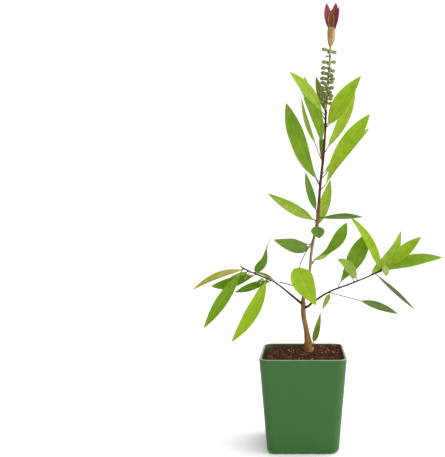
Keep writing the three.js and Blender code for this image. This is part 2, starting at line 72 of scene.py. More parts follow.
def squareTo(vector, line):
    # the part of a vector that is square to a line, at length one
    return (vector - line * vector.dot(line)).normalized()


class Strand:
    # a smooth line through knots (right, back, up, radius), measured out along its length
    def __init__(self, knots, divisions=400):
        self.knots = [Vector(knot[:3]) for knot in knots]
        self.radii = [knot[3] for knot in knots if len(knot) > 3]
        self.divisions = divisions
        self.lengths = [0.0]
        last = self.knots[0]
        for step in range(1, divisions + 1):
            here = self.between(step / divisions)
            self.lengths.append(self.lengths[-1] + (here - last).length)
            last = here
        self.length = self.lengths[-1]

    def between(self, place):
        # a centripetal spline, so that no bend overshoots its knot
        knots = self.knots
        last = len(knots) - 1
        first = min(int(place * last), last - 1)
        share = place * last - first
        here, there = knots[first], knots[first + 1]
        before = knots[first - 1] if first > 0 else here * 2 - there
        beyond = knots[first + 2] if first + 2 <= last else there * 2 - here
        pairs = ((before, here), (here, there), (there, beyond))
        early, middle, late = [max(math.sqrt((b - a).length), 1e-4) for a, b in pairs]
        out = (here - before) / early - (there - before) / (early + middle) + (there - here) / middle
        into = (there - here) / middle - (beyond - here) / (middle + late) + (beyond - there) / late
        out, into = out * middle, into * middle
        square = (there - here) * 3 - out * 2 - into
        cube = (here - there) * 2 + out + into
        return here + out * share + square * share ** 2 + cube * share ** 3

    def place(self, share):
        target = share * self.length
        step = min(max(bisect.bisect_right(self.lengths, target) - 1, 0), self.divisions - 1)
        low, high = self.lengths[step], self.lengths[step + 1]
        return (step + (target - low) / max(high - low, 1e-9)) / self.divisions

    def point(self, share):
        return self.between(self.place(share))

    def heading(self, share):
        place = self.place(share)
        low, high = max(place - 1e-4, 0), min(place + 1e-4, 1)
        return (self.between(high) - self.between(low)).normalized()

    def radius(self, share):
        place = self.place(share) * (len(self.radii) - 1)
        first = min(int(place), len(self.radii) - 2)
        return mixed(self.radii[first], self.radii[first + 1], place - first)

    def shareAt(self, height):
        low, high = 0.0, 1.0
        for _ in range(30):
            middle = (low + high) / 2
            low, high = (middle, high) if self.point(middle).z < height else (low, middle)
        return low


def newBatch():
    return {"points": [], "faces": [], "slots": [], "maps": []}


def addRings(batch, rings, slotOf, maps=None, tip=None):
    # a closed skin over rings of points, each ring turning the same way about its line
    def addFace(corners, row, k):
        batch["faces"].append(tuple(corners))
        batch["slots"].append(slotOf(row, k))

    first = len(batch["points"])
    count = len(rings[0])
    last = len(rings) - 1
    for row, ring in enumerate(rings):
        batch["points"] += ring
        batch["maps"] += maps[row] if maps else [(0, 0)] * count
    for row in range(last):
        here = first + row * count
        for k in range(count):
            following = (k + 1) % count
            addFace((here + k, here + following, here + count + following, here + count + k), row, k)
    addFace([first + k for k in reversed(range(count))], 0, 0)
    top = first + last * count
    if tip is None:
        addFace(range(top, top + count), last - 1, 0)
        return
    batch["points"].append(tip)
    batch["maps"].append(maps[-1][0] if maps else (0, 0))
    for k in range(count):
        addFace((top + k, top + (k + 1) % count, top + count), last - 1, k)


def addObject(name, data):
    thing = bpy.data.objects.new(name, data)
    bpy.context.scene.collection.objects.link(thing)
    return thing


def makePiece(name, batch, materials, nodes, sharpDegrees=50):
    mesh = bpy.data.meshes.new(name)
    mesh.from_pydata([tuple(point * mm) for point in batch["points"]], [], batch["faces"])
    for material in materials:
        mesh.materials.append(material)
    mesh.polygons.foreach_set("material_index", batch["slots"])
    mesh.polygons.foreach_set("use_smooth", [True] * len(batch["faces"]))
    layer = mesh.uv_layers.new(name="surfaceMap")
    corners = [0] * len(mesh.loops)
    mesh.loops.foreach_get("vertex_index", corners)
    layer.data.foreach_set("uv", [part for corner in corners for part in batch["maps"][corner]])
    mesh.set_sharp_from_angle(angle=math.radians(sharpDegrees))
    mesh.validate()
    piece = addObject(name, mesh)
    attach(piece, "root")
    if nodes:
        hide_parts(*nodes)
    return piece


def linear(code):
    # an sRGB hex colour as the linear numbers that a shader takes
    parts = [int(code[place:place + 2], 16) / 255 for place in (1, 3, 5)]
    return [part / 12.92 if part <= 0.04045 else ((part + 0.055) / 1.055) ** 2.4 for part in parts] + [1]


def mixedHex(first, second, share):
    pairs = [(int(first[i:i + 2], 16), int(second[i:i + 2], 16)) for i in (1, 3, 5)]
    return "#" + "".join("%02X" % round(mixed(a, b, share)) for a, b in pairs)


def size(millimetres):
    # a texture's scale for features of this size
    return 1000 / millimetres


def setInputs(tree, node, inputs):
    # a node's inputs by name or number, each a value, a socket, or a node for its first output
    for key, value in inputs.items():
        if isinstance(value, bpy.types.Node):
            value = value.outputs[0]
        if isinstance(value, bpy.types.NodeSocket):
            tree.links.new(value, node.inputs[key])
        else:
            node.inputs[key].default_value = value


def addNode(tree, kind, inputs=None, ramp=None, **settings):
    # one node with its inputs, the stops of its colour ramp, and its settings by name
    node = tree.nodes.new("ShaderNode" + kind)
    if ramp:
        elements = node.color_ramp.elements
        for place, _ in ramp[2:]:
            elements.new(place)
        for element, (place, colour) in zip(elements, sorted(ramp)):
            element.position = place
            element.color = linear(colour)
    for key, value in settings.items():
        setattr(node, key, value)
    setInputs(tree, node, inputs or {})
    return node


def newMaterial(name, finish):
    # finish: the shader's own values
    material = bpy.data.materials.new(name)
    material.use_nodes = True
    tree = material.node_tree
    shader = tree.nodes["Principled BSDF"]
    setInputs(tree, shader, {"IOR": 1.45, **finish})
    return material, tree, shader, addNode(tree, "TexCoord").outputs["Object"]


def grainedMaterial(name, finish, grain, detail, stops, strength, depth, upright=1.0):
    # One grain, of so many millimetres, gives both the tint and the relief. Where upright is
    # under 1 it is drawn out into upright streaks.
    material, tree, shader, spot = newMaterial(name, finish)
    if upright < 1:
        spot = addNode(tree, "Mapping", {"Vector": spot, "Scale": (1.0, 1.0, upright)})
    height = addNode(tree, "TexNoise", {"Vector": spot, "Scale": size(grain), "Detail": detail})
    tint = addNode(tree, "ValToRGB", {"Fac": height}, stops)
    bump = addNode(tree, "Bump", {"Height": height, "Strength": strength, "Distance": depth * mm})
    setInputs(tree, shader, {"Base Color": tint, "Normal": bump})
    return material


def mouldedPolypropylene(name, colour, worn):
    # Polypropylene, injection moulded in a satin steel mould: one even colour right through,
    # a soft broad gloss, and a skin too fine to see but for the way that it dulls the light.
    material, tree, shader, spot = newMaterial(name, {"IOR": 1.49, "Specular IOR Level": 0.3})
    cloud = addNode(tree, "TexNoise", {"Vector": spot, "Scale": size(14), "Detail": 3.0})
    stops = [(0.3, mixedHex(colour, worn, 0.1)), (0.7, colour)]
    tint = addNode(tree, "ValToRGB", {"Fac": cloud}, stops)
    # spark-eroded mould skin, 0.1 mm in life and drawn at 0.7 mm so that it shows
    skin = addNode(tree, "TexNoise", {"Vector": spot, "Scale": size(0.7), "Detail": 2.0})
    dull = addNode(tree, "MapRange", {"Value": skin, "To Min": 0.34, "To Max": 0.46})
    bump = addNode(tree, "Bump", {"Height": skin, "Strength": 0.25, "Distance": 0.03 * mm})
    setInputs(tree, shader, {"Base Color": tint, "Roughness": dull, "Normal": bump})
    return material


def waxyLeaf(name, colour, veinColour, veinDepth, roughness=0.45, cast=("#2F4A06", "#CCDC58"),
             glow=(0.6, 1.0, 0.2)):
    # A living leaf under a thin waxy skin: a satin gloss, faint slanting veins on either side
    # of the midrib, a fine pebbling of cells, and a little light through the blade.
    finish = {"Roughness": roughness, "IOR": 1.42, "Specular IOR Level": 0.25,
              "Subsurface Weight": 0.15, "Subsurface Radius": glow, "Subsurface Scale": 1.0 * mm}
    material, tree, shader, spot = newMaterial(name, finish)
    onLeaf = addNode(tree, "UVMap", uv_map="surfaceMap")
    place = addNode(tree, "SeparateXYZ", {"Vector": onLeaf}).outputs
    outward = addNode(tree, "Math", {0: place["X"]}, operation="ABSOLUTE")
    slant = addNode(tree, "Math", {0: outward, 1: -1.3, 2: place["Y"]}, operation="MULTIPLY_ADD")
    stray = addNode(tree, "TexNoise", {"Vector": spot, "Scale": size(4), "Detail": 2.0})
    strayed = addNode(tree, "Math", {0: stray, 1: 1.6, 2: slant}, operation="MULTIPLY_ADD")
    # side veins 2.4 mm apart along the midrib, each fading out 0.5 mm from its middle
    toVein = addNode(tree, "Math", {0: strayed, 1: 1.2}, operation="PINGPONG")
    vein = addNode(tree, "MapRange", {"Value": toVein, "From Max": 0.5, "To Min": 1.0, "To Max": 0.0},
                   interpolation_type="SMOOTHSTEP")
    cloud = addNode(tree, "TexNoise", {"Vector": spot, "Scale": size(9), "Detail": 3.0})
    stops = [(0.3, mixedHex(colour, cast[0], 0.14)), (0.7, mixedHex(colour, cast[1], 0.08))]
    blade = addNode(tree, "ValToRGB", {"Fac": cloud}, stops)
    amount = addNode(tree, "Math", {0: vein, 1: 0.22}, operation="MULTIPLY")
    tint = addNode(tree, "Mix", {0: amount, 6: blade, 7: linear(veinColour)}, data_type="RGBA")
    # surface cells, 0.05 mm in life and drawn at 0.35 mm so that they catch the light
    cells = addNode(tree, "TexNoise", {"Vector": spot, "Scale": size(0.35), "Detail": 2.0})
    relief = addNode(tree, "Math", {0: vein, 1: veinDepth, 2: cells}, operation="MULTIPLY_ADD")
    bump = addNode(tree, "Bump", {"Height": relief, "Strength": 0.35, "Distance": 0.06 * mm})
    setInputs(tree, shader, {"Base Color": tint.outputs[2], "Normal": bump})
    return material


def flushedLeaf(name, colour, veinColour, veinDepth):
    # A leaf in its first days, the same wax over red sap in place of green: duller and redder inside.
    return waxyLeaf(name, colour, veinColour, veinDepth, 0.52, ("#3A1418", "#D8A490"), (1.0, 0.4, 0.3))


# Each tone holds a leaf's own colour together with painted light and shade: a leaf that the light falls on
# more is painted lighter, and one turned down, away or into shade is painted darker. 'lit' is painted light
# and 'shade' is painted shade.
leafTonesWithPaintedLight = {
    "bright": "#829F0A", "lit": "#96AA28", "soft": "#708816", "fresh": "#829B22",
    "mid": "#5B7D00", "clear": "#709118", "cool": "#728D30", "deep": "#426200",
    "dull": "#899F34", "light": "#6C8228", "pale": "#829047", "olive": "#55580F",
    "straw": "#8E8730", "shade": "#36411E", "grassy": "#496224", "dusky": "#58630E",
}
greenStalked = ("grassy", "light", "shade")
leafMade = {}


def leafSet(tone):
    # the four finishes of one leaf: its upper face, its midrib, its underside and its stalk
    if tone not in leafMade:
        colour = leafTonesWithPaintedLight[tone]
        rib = mixedHex(colour, "#D8E090", 0.22)
        under = mixedHex(colour, "#A9BC86", 0.35)
        leafMade[tone] = [
            waxyLeaf("waxy_leaf_" + tone, colour, mixedHex(colour, "#BED450", 0.5), -0.8),
            waxyLeaf("leaf_midrib_" + tone, rib, mixedHex(rib, "#FFFFFF", 0.1), 0.1),
            waxyLeaf("leaf_underside_" + tone, under, mixedHex(under, "#D4DFB4", 0.5), 0.9, 0.55),
            greenStalk if tone in greenStalked else leafStalk,
        ]
    return leafMade[tone]


def fibrousBark(name, tints, grain, depth, roughness=0.75):
    # Bark of a young stem: papery low down and smooth above, with long fibres that run up it,
    # so the light breaks into fine upright streaks. Its colour changes with its age.
    material, tree, shader, spot = newMaterial(name, {"Roughness": roughness, "Specular IOR Level": 0.25})
    stray = 14  # how far a change of colour can stray from its height
    height = addNode(tree, "SeparateXYZ", {"Vector": spot}).outputs["Z"]
    patchy = addNode(tree, "TexNoise", {"Vector": spot, "Scale": size(7), "Detail": 3.0})
    strayed = addNode(tree, "Math", {0: patchy, 1: stray * mm, 2: height}, operation="MULTIPLY_ADD")
    lowest, highest = tints[0][0], tints[-1][0]
    limits = {"From Min": (lowest + stray / 2) * mm, "From Max": (highest + stray / 2) * mm}
    share = addNode(tree, "MapRange", {"Value": strayed, **limits})
    stops = [((up - lowest) / (highest - lowest), colour) for up, colour in tints]
    aged = addNode(tree, "ValToRGB", {"Fac": share}, stops)
    drawnOut = addNode(tree, "Mapping", {"Vector": spot, "Scale": (1.0, 1.0, 0.12)})
    fibre = addNode(tree, "TexNoise", {"Vector": drawnOut, "Scale": size(grain), "Detail": 5.0,
                                       "Roughness": 0.65})
    streak = addNode(tree, "ValToRGB", {"Fac": fibre}, [(0.32, "#5A4A42"), (0.62, "#FFFFFF")])
    tint = addNode(tree, "Mix", {0: 0.65, 6: aged, 7: streak}, data_type="RGBA", blend_type="MULTIPLY")
    bump = addNode(tree, "Bump", {"Height": fibre, "Strength": 0.6, "Distance": depth * mm})
    setInputs(tree, shader, {"Base Color": tint.outputs[2], "Normal": bump})
    return material


def dampPeat(name, colour, deep, grain):
    # Peat and composted bark, sieved and damp: dull, dark and open, with crumbs of every size.
    finish = {"Roughness": 0.9, "Specular IOR Level": 0.2}
    return grainedMaterial(name, finish, grain, 4.0, [(0.35, deep), (0.65, colour)], 0.8, 0.3)


def fleshyBud(name, colour, shaded, roughness=0.5):
    # A fleshy bud under a dull bloom: soft gloss, faintly mottled, no hard edges.
    finish = {"Roughness": roughness, "IOR": 1.42, "Subsurface Weight": 0.1,
              "Subsurface Radius": (0.6, 0.8, 0.3), "Subsurface Scale": 1.0 * mm}
    return grainedMaterial(name, finish, 1.6, 3.0, [(0.35, shaded), (0.65, colour)], 0.4, 0.08)


def paperyScale(name, colour, shaded):
    # A bud scale, dried on the bud: thin, dull and papery, streaked by the veins that have sunk
    # in. They are 0.4 mm apart in life and drawn at 1 mm so that they show.
    stops = [(0.38, shaded), (0.6, colour)]
    return grainedMaterial(name, {"Roughness": 0.65}, 1.0, 3.0, stops, 0.5, 0.15, upright=0.08)


leafStalk = fleshyBud("leaf_stalk", "#54461C", "#3A2C12")
greenStalk = fleshyBud("green_leaf_stalk", "#4C6A26", "#3A5218")
twigTints = [(140, "#3C2014"), (160, "#3C2014"), (200, "#2E1C14")]
twigBark = fibrousBark("young_twig_bark", twigTints, grain=0.5, depth=0.1, roughness=0.7)
print("materials ready")


pot = {
    "height": 100,
    "topWidth": 91.6,
    "bottomWidth": 75,
    "corner": 0.22,  # corner radius as a share of the half width
    "wall": 2.4,
    "floor": 2.5,
    "footRound": 5,
    "rimBead": 1.2,  # radius of the rounded rim
    "paleTurns": (0.3, 2.6),  # the part of the bead painted pale as a highlight, in radians from its outer side
    "innerFillet": 3,
    "drainRadius": 3.5,
    "drainOffset": 21,
    "sides": 160,
    "flatPart": 0.25,  # half of the points of each side lie on its flat
    # its colour and its worn colour: outside, on the rim where a highlight is painted pale, and inside,
    # painted darker as shade
    "finishes": {
        "moulded_polypropylene": ("#2A5722", "#4A7A42"),
        "polypropylene_rim_painted_highlight": ("#768260", "#9CA680"),
        "polypropylene_inside_painted_shade": ("#3C4426", "#5A5E3E"),
    },
}


def outerHalf(height):
    return mixed(pot["bottomWidth"], pot["topWidth"], height / pot["height"]) / 2


def innerHalf(height):
    return outerHalf(height) - pot["wall"]


def squareRing(half, height, sides):
    # a square in plan with round corners, as many points on its flats as on its corners
    ring = []
    for k in range(sides):
        turn = 4 * k / sides
        quarter = round(turn)
        offset = turn - quarter
        radius = half * pot["corner"]
        straight = half - radius
        side = math.copysign(1, offset)
        along = side * min(abs(offset) / pot["flatPart"], 1) * straight
        arc = max(0, abs(offset) - pot["flatPart"]) / (0.5 - pot["flatPart"]) * math.pi / 4
        outward = straight + radius * math.cos(arc)
        aside = along + side * radius * math.sin(arc)
        angle = (quarter % 4) * math.pi / 2
        ring.append(Vector((
            outward * math.cos(angle) - aside * math.sin(angle),
            outward * math.sin(angle) + aside * math.cos(angle),
            height,
        )))
    return ring


def potProfile():
    # half width, height, and the finish there: 0 outside, 1 on the rim's painted highlight, 2 inside with
    # its painted shade
    top = pot["height"]
    bead = pot["rimBead"]
    foot = pot["footRound"]
    profile = [(share * (outerHalf(foot) - foot), 0, 0) for share in (0.3, 0.6, 0.9)]
    for step in range(9):
        turn = step / 8 * math.pi / 2
        inset = foot * (1 - math.sin(turn))
        profile.append((outerHalf(foot) - inset, foot * (1 - math.cos(turn)), 0))
    for step in range(1, 16):
        height = mixed(foot, top - bead, step / 16)
        profile.append((outerHalf(height), height, 0))
    for step in range(17):
        turn = step / 16 * math.pi
        # past the first limit the bead takes the painted highlight, past the second the inside's painted
        # shade
        finish = sum(turn > limit for limit in pot["paleTurns"])
        half = outerHalf(top) - bead + bead * math.cos(turn)
        profile.append((half, top - bead + bead * math.sin(turn), finish))
    for step in range(1, 12):
        height = mixed(top - bead, pot["floor"] + pot["innerFillet"], step / 12)
        profile.append((innerHalf(height), height, 2))
    for step in range(5):
        turn = step / 4 * math.pi / 2
        inset = pot["innerFillet"] * math.sin(turn)
        drop = pot["innerFillet"] * (1 - math.cos(turn))
        half = innerHalf(pot["floor"] + pot["innerFillet"]) - drop
        profile.append((half, pot["floor"] + pot["innerFillet"] - inset, 2))
    profile += [(share * (innerHalf(0) - 4), pot["floor"], 2) for share in (0.8, 0.5, 0.2)]
    return profile


def makePot():
    profile = potProfile()
    sides = pot["sides"]
    batch = newBatch()
    rings = [squareRing(half, height, sides) for half, height, _ in profile]
    addRings(batch, rings, lambda row, k: min(profile[row][2], profile[row + 1][2]))
    plastics = [mouldedPolypropylene(name, *colours) for name, colours in pot["finishes"].items()]
    piece = makePiece("pot_shell", batch, plastics, ["pot"], sharpDegrees=40)
    cutter = bpy.data.meshes.new("drain_cutter")
    shape = bmesh.new()
    radius, depth = pot["drainRadius"] * mm, pot["floor"] * 4 * mm
    for x, y in ((-1, -1), (-1, 1), (1, -1), (1, 1)):
        spot = Matrix.Translation(Vector((x, y, 0)) * pot["drainOffset"] * mm)
        bmesh.ops.create_cone(shape, cap_ends=True, segments=32, radius1=radius, radius2=radius,
                              depth=depth, matrix=spot)
    shape.to_mesh(cutter)
    shape.free()
    tool = addObject("drain_cutter", cutter)
    holes = piece.modifiers.new("drainHoles", "BOOLEAN")
    holes.operation = "DIFFERENCE"
    holes.object = tool
    holes.solver = "EXACT"
    graph = bpy.context.evaluated_depsgraph_get()
    cut = bpy.data.meshes.new_from_object(piece.evaluated_get(graph))
    piece.modifiers.clear()
    piece.data = cut
    bpy.data.objects.remove(tool)
    bpy.data.meshes.remove(cutter)


makePot()
print("pot made")


trunkKnots = [
    (6.0, 12, 97.3, 5.3),
    (5.7, 11.8, 103, 4.5),
    (5.0, 11.4, 111, 3.7),
    (3.9, 11, 120, 2.95),
    (0.7, 10.2, 137, 2.75),
    (0.2, 9.4, 151, 2.75),
    (0.5, 9, 160, 1.75),
    (3.8, 8.5, 173, 1.5),
    (7.2, 8, 186, 1.45),
    (8.9, 7, 205, 1.6),
    (11.4, 6, 222, 1.5),
    (15.3, 5.2, 238, 1.7),
    (16.7, 4.9, 251, 2.1),
    (17.2, 4.8, 259, 1.6),
    (19.4, 4, 287, 1.4),
    (22.5, 3, 315, 1.4),
    (24.2, 2.2, 337, 1.2),
    (25.3, 1.4, 366, 1.0),
]
soil = {
    "edgeHeight": 96.2,
    "moundHeight": 97.3,
    "moundFlat": 8,
    "moundFoot": 27,
    "lump": 0.9,
    "slope": 0.045,  # how much it rises toward the back
    "dip": 3,  # a hollow in the left back corner
    "dipAt": (-31, 34),
    "dipReach": 13,
    "settled": 1.4,  # how far it has sunk right beside the walls
    "settledReach": 2.5,
    "rings": 64,
    "sides": 192,
    "relief": [(4, 0.75), (1.5, 0.45)],  # how wide and how high its lumps and its crumbs are
    "finish": ("#442210", "#200E06", 2.2),  # colour, colour in its hollows, and grain
    "wallClear": 1.2,
    "cornerRound": 8,
    "dent": 0.35,  # of a loose piece, as a share of its radius
    "seed": 17,
    # Loose pieces. count: how many are strewn. at: those with a place of their own, and their
    # radius. sizes: from the smallest radius to the largest. mix: how the finishes are dealt out.
    # lift: how far the middle stands above the bed, as a share of the radius.
    "loose": {
        "crumbs": {"count": 1500, "sizes": (0.45, 1.7), "shape": (1, 0.8, 0.65), "lift": 0.1,
                   "mix": (0, 0, 0, 1, 1), "finishes": {"peat_crumb_dark": ("#462614", "#22110A", 1.2),
                                                        "peat_crumb_red": ("#623018", "#3C1A0A", 1.2)}},
        "chips": {"count": 560, "sizes": (0.3, 0.7), "shape": (2.0, 0.8, 0.4), "lift": 0.35,
                  "mix": (0, 0, 1), "finishes": {"bark_chip": ("#9C7452", "#6A4A2E", 1.0),
                                                 "bark_chip_pale": ("#C8A482", "#94704E", 1.0)}},
        "grit": {"count": 0, "at": [(-15.7, 13, 0.9), (10.2, -21.6, 0.8)], "shape": (1.3, 0.8, 0.6),
                 "lift": 0.6, "finishes": {"expanded_grit": ("#EEE9DF", "#CFC6B6", 0.8)}},
    },
}


def soilHeight(x, y):
    stemX, stemY = trunkKnots[0][:2]
    away = eased(math.hypot(x - stemX, y - stemY), soil["moundFlat"], soil["moundFoot"])
    # slow swells, 25 to 37 mm from crest to crest
    lumps = math.sin(x * 0.21 + 1) * math.cos(y * 0.17) + 0.6 * math.sin(x * 0.11 - y * 0.23)
    dipX, dipY = soil["dipAt"]
    dip = soil["dip"] * math.exp(-((x - dipX) ** 2 + (y - dipY) ** 2) / (2 * soil["dipReach"] ** 2))
    outer = soil["edgeHeight"] + soil["lump"] * lumps + soil["slope"] * y - dip
    fromWall = innerHalf(soil["edgeHeight"]) - max(abs(x), abs(y))
    outer -= soil["settled"] * (1 - eased(fromWall, 0, soil["settledReach"]))
    return mixed(soil["moundHeight"], outer, away)


def crumbled(x, y):
    # how far the lumps and the crumbs lift the surface
    return sum(high * noise.noise(Vector((x / wide, y / wide, 5 * index)))
               for index, (wide, high) in enumerate(soil["relief"]))


def makeSoil():
    floor = pot["floor"] + 0.1
    # its underside and sides, hidden by the pot, and then its surface from the edge inward
    profile = [(10, floor), (innerHalf(floor) - 4, floor)]
    profile += [(innerHalf(height), height) for height in (9, 50, 90)]
    batch = newBatch()
    rings = [squareRing(half, height, soil["sides"]) for half, height in profile]
    edge = innerHalf(soil["edgeHeight"]) + 0.2
    for step in range(soil["rings"]):
        ring = squareRing(edge * (1 - step / soil["rings"]), 0, soil["sides"])
        rings.append([Vector((p.x, p.y, soilHeight(p.x, p.y) + crumbled(p.x, p.y))) for p in ring])
    addRings(batch, rings, lambda row, k: 0)
    peat = dampPeat("damp_peat", *soil["finish"])
    makePiece("soil_bed", batch, [peat], ["soil"], sharpDegrees=180)


def unitBall():
    ball = bmesh.new()
    bmesh.ops.create_icosphere(ball, subdivisions=2, radius=1)
    corners = [vertex.co.copy() for vertex in ball.verts]
    faces = [[vertex.index for vertex in face.verts] for face in ball.faces]
    ball.free()
    return corners, faces


ballCorners, ballFaces = unitBall()


def addLump(batch, draw, x, y, radius, kind, slot):
    # one small broken lump, a dented ball turned any way and laid on the bed
    turn = Quaternion(Vector((draw() - 0.5, draw() - 0.5, draw() - 0.5)).normalized(), draw() * 6.28)
    shift = Vector((draw(), draw(), draw())) * 50
    first = len(batch["points"])
    centre = Vector((x, y, soilHeight(x, y) + crumbled(x, y) + radius * kind["lift"]))
    for corner in ballCorners:
        dent = 1 + soil["dent"] * noise.noise(corner * 1.1 + shift)
        shaped = Vector([part * wide for part, wide in zip(corner, kind["shape"])])
        batch["points"].append(centre + turn @ shaped * radius * dent)
        batch["maps"].append((0, 0))
    batch["faces"] += [tuple(first + index for index in face) for face in ballFaces]
    batch["slots"] += [slot] * len(ballFaces)


def strew(batch, draw, kind):
    # pieces anywhere on the bed but for its corners and the stem, most of them small
    limit = innerHalf(soil["edgeHeight"]) - soil["wallClear"]
    corner = soil["cornerRound"]
    stem = Vector(trunkKnots[0][:2])
    placed = 0
    while placed < kind["count"]:
        x, y = (draw() * 2 - 1) * limit, (draw() * 2 - 1) * limit
        radius = mixed(*kind["sizes"], draw() ** 2.5)
        slot = kind["mix"][int(draw() * len(kind["mix"]))]
        cornered = math.hypot(*[max(abs(part) - limit + corner, 0) for part in (x, y)]) > corner - radius
        if cornered or (Vector((x, y)) - stem).length < trunkKnots[0][3] + radius * 0.3:
            continue
        addLump(batch, draw, x, y, radius, kind, slot)
        placed += 1


def makeLoosePieces():
    draw = seeded(soil["seed"])
    for name, kind in soil["loose"].items():
        batch = newBatch()
        for x, y, radius in kind.get("at", ()):
            addLump(batch, draw, x, y, radius, kind, 0)
        strew(batch, draw, kind)
        peats = [dampPeat(finish, *values) for finish, values in kind["finishes"].items()]
        makePiece("soil_" + name, batch, peats, [], sharpDegrees=25)


makeSoil()
makeLoosePieces()
print("potting mix made")


leftBough = [
    (-3.6, 7.2, 153.1, 1.5),
    (-16.3, 2, 164.2, 1.05),
    (-24.5, -2.6, 171.5, 0.9),
]
leftEnd = [
    (-24.9, -2.8, 171.8, 0.85),
    (-32.7, -7, 177.6, 0.85),
    (-44.8, -13, 183.4, 0.8),
    (-60.7, -20, 190.9, 0.75),
    (-66.4, -23, 194.8, 0.6),
]
rightBough = [
    (4.8, 8.2, 147.9, 1.5),
    (9.5, 8.6, 151.6, 1.25),
    (28.3, 13, 163.3, 1.0),
    (53.2, 17, 172.5, 0.9),
    (71.5, 20.7, 179.2, 0.8),
]
rightEnd = [
    (71.9, 20.8, 179.4, 0.8),
    (77.2, 22, 181.6, 0.8),
    (90.1, 24, 187.9, 0.7),
    (95, 25, 191.5, 0.6),
]
bareTwigRoot = (1.2, 8.8, 163.6, 0.9)  # where its line starts inside the trunk
bareTwig = [
    (-1.9, 6.6, 165.5, 0.7),
    (-9.6, 4, 171, 0.6),
    (-26.6, 3.5, 175.8, 0.5),
]

plainLeaf = {
    "stalk": None,  # the end of a long stalk, from the node
    "peak": 0.5,  # where the blade is widest
    "sway": 0,  # how far its middle stands off sideways
    "hip": 0,  # how much further its lower third does
    "arch": 0,  # how far its middle stands off toward its face
    "face": front,  # where its upper face looks
    "twist": 0,  # how far that turns by the tip, in radians
}


def leafAt(at, reach, wide, tone, **more):
    # at: the node's height on the trunk, or its share of the way along a bough. reach: the tip
    # from the node. wide: the blade's width. tone: its colour. more: what isn't plain.
    return {**plainLeaf, "at": at, "reach": reach, "wide": wide, "tone": tone, **more}


trunkLeaves = [
    leafAt(103, (13.6, -12, 40), 7.8, "cool", stalk=(6, -3.5, 6), peak=0.31, sway=0.8, face=leftish),
    leafAt(181, (-2.5, 30, -17), 11, "mid", arch=3, face=upward),
    leafAt(196, (38, -33, 45), 13, "mid", stalk=(6, -4, 6), peak=0.68, sway=5, arch=2),
    leafAt(197, (35, 35, 29), 8, "mid", sway=-5, arch=3, face=back),
    leafAt(214, (-41, -32, 9), 17, "deep", peak=0.38, sway=-2.7, arch=0.6, face=(0, -0.9, 0.4)),
    leafAt(217, (-31, 38, -4), 12, "deep", arch=2, face=upward),
    leafAt(221, (2.5, -28, -68), 24.2, "bright", stalk=(-15, -19.5, -28), peak=0.31, sway=1.3, hip=1.3),
    leafAt(238.8, (1.5, -36, -14.2), 14.7, "deep", peak=0.62, sway=0.8, arch=2, face=(0, -0.5, 1)),
    leafAt(236.5, (16.3, 21, 54.5), 12.5, "fresh", peak=0.42, sway=1),
    leafAt(243.5, (-53.5, -29, 28.5), 12, "soft", peak=0.45, sway=-1.5, arch=3),
    leafAt(243, (-37, 38, 21.5), 10, "mid", sway=1, arch=3, face=back),
    leafAt(247.3, (47, -31, -0.3), 11.4, "deep", peak=0.45, arch=0.8, face=(0, -0.65, 0.8)),
    leafAt(253.5, (-14.5, -21, 42), 9.5, "deep", peak=0.42, sway=-1, face=(0.5, -1, 0)),
    leafAt(279, (56, 12, 69), 12.5, "dull", peak=0.55, sway=-5.5),
    leafAt(284, (-37.5, -14, 87), 18, "mid", peak=0.58, sway=-2.5),
    leafAt(286, (-38, 42, 67), 12, "bright", sway=2.6, arch=4, face=back),
    leafAt(292, (51.5, -22, 65.4), 18, "bright", peak=0.55, arch=2),
    leafAt(296, (43, 43, 49), 12, "mid", sway=-3, arch=4, face=back),
    leafAt(309, (-2.8, 18.5, 33), 7, "dusky", sway=1.5, face=(-0.5, -1, 0.3)),
    leafAt(311, (-24, -23, 64), 8.6, "dull", stalk=(-9, -7, 17), peak=0.45, sway=-2.8, face=(-1, -0.7, 0)),
    leafAt(320, (36, 13, 76), 12.2, "lit", sway=2.9),
    leafAt(328, (-23.5, -26, 46.5), 11.8, "mid", sway=3.5, arch=3),
    leafAt(349, (28, 42, 47), 11, "bright", arch=4, face=back),
    leafAt(347, (36.5, -28, 49.2), 17.8, "bright", peak=0.43, sway=-1, arch=3),
    leafAt(350, (-28, 36, 47), 10, "bright", sway=-2, arch=3, face=back),
    leafAt(356, (-23.5, 22, 52.8), 7.5, "bright", sway=-3),
    leafAt(360.5, (-39.5, -25, 40.9), 12.4, "fresh", sway=1.5, arch=2),
    leafAt(363, (-10.5, 24, 45.8), 8, "dusky", stalk=(-1, 10, 4)),
]
rightBoughLeaves = [
    leafAt(0.39, (-8, -11, -18.5), 5.8, "light", peak=0.31),
    leafAt(0.41, (75, -10, -24), 8.5, "grassy", stalk=(34.5, -5, -10), peak=0.45, sway=-1),
    leafAt(0.555, (33.5, 11.5, 62), 19.5, "mid", peak=0.58, sway=1.5),
    leafAt(0.8, (-1.5, 42, 34), 11, "mid", arch=3, face=back),
    leafAt(0.86, (-24.5, -28.5, 26), 12, "light", peak=0.45, sway=3, face=(0.2, -1, 0.3)),
]
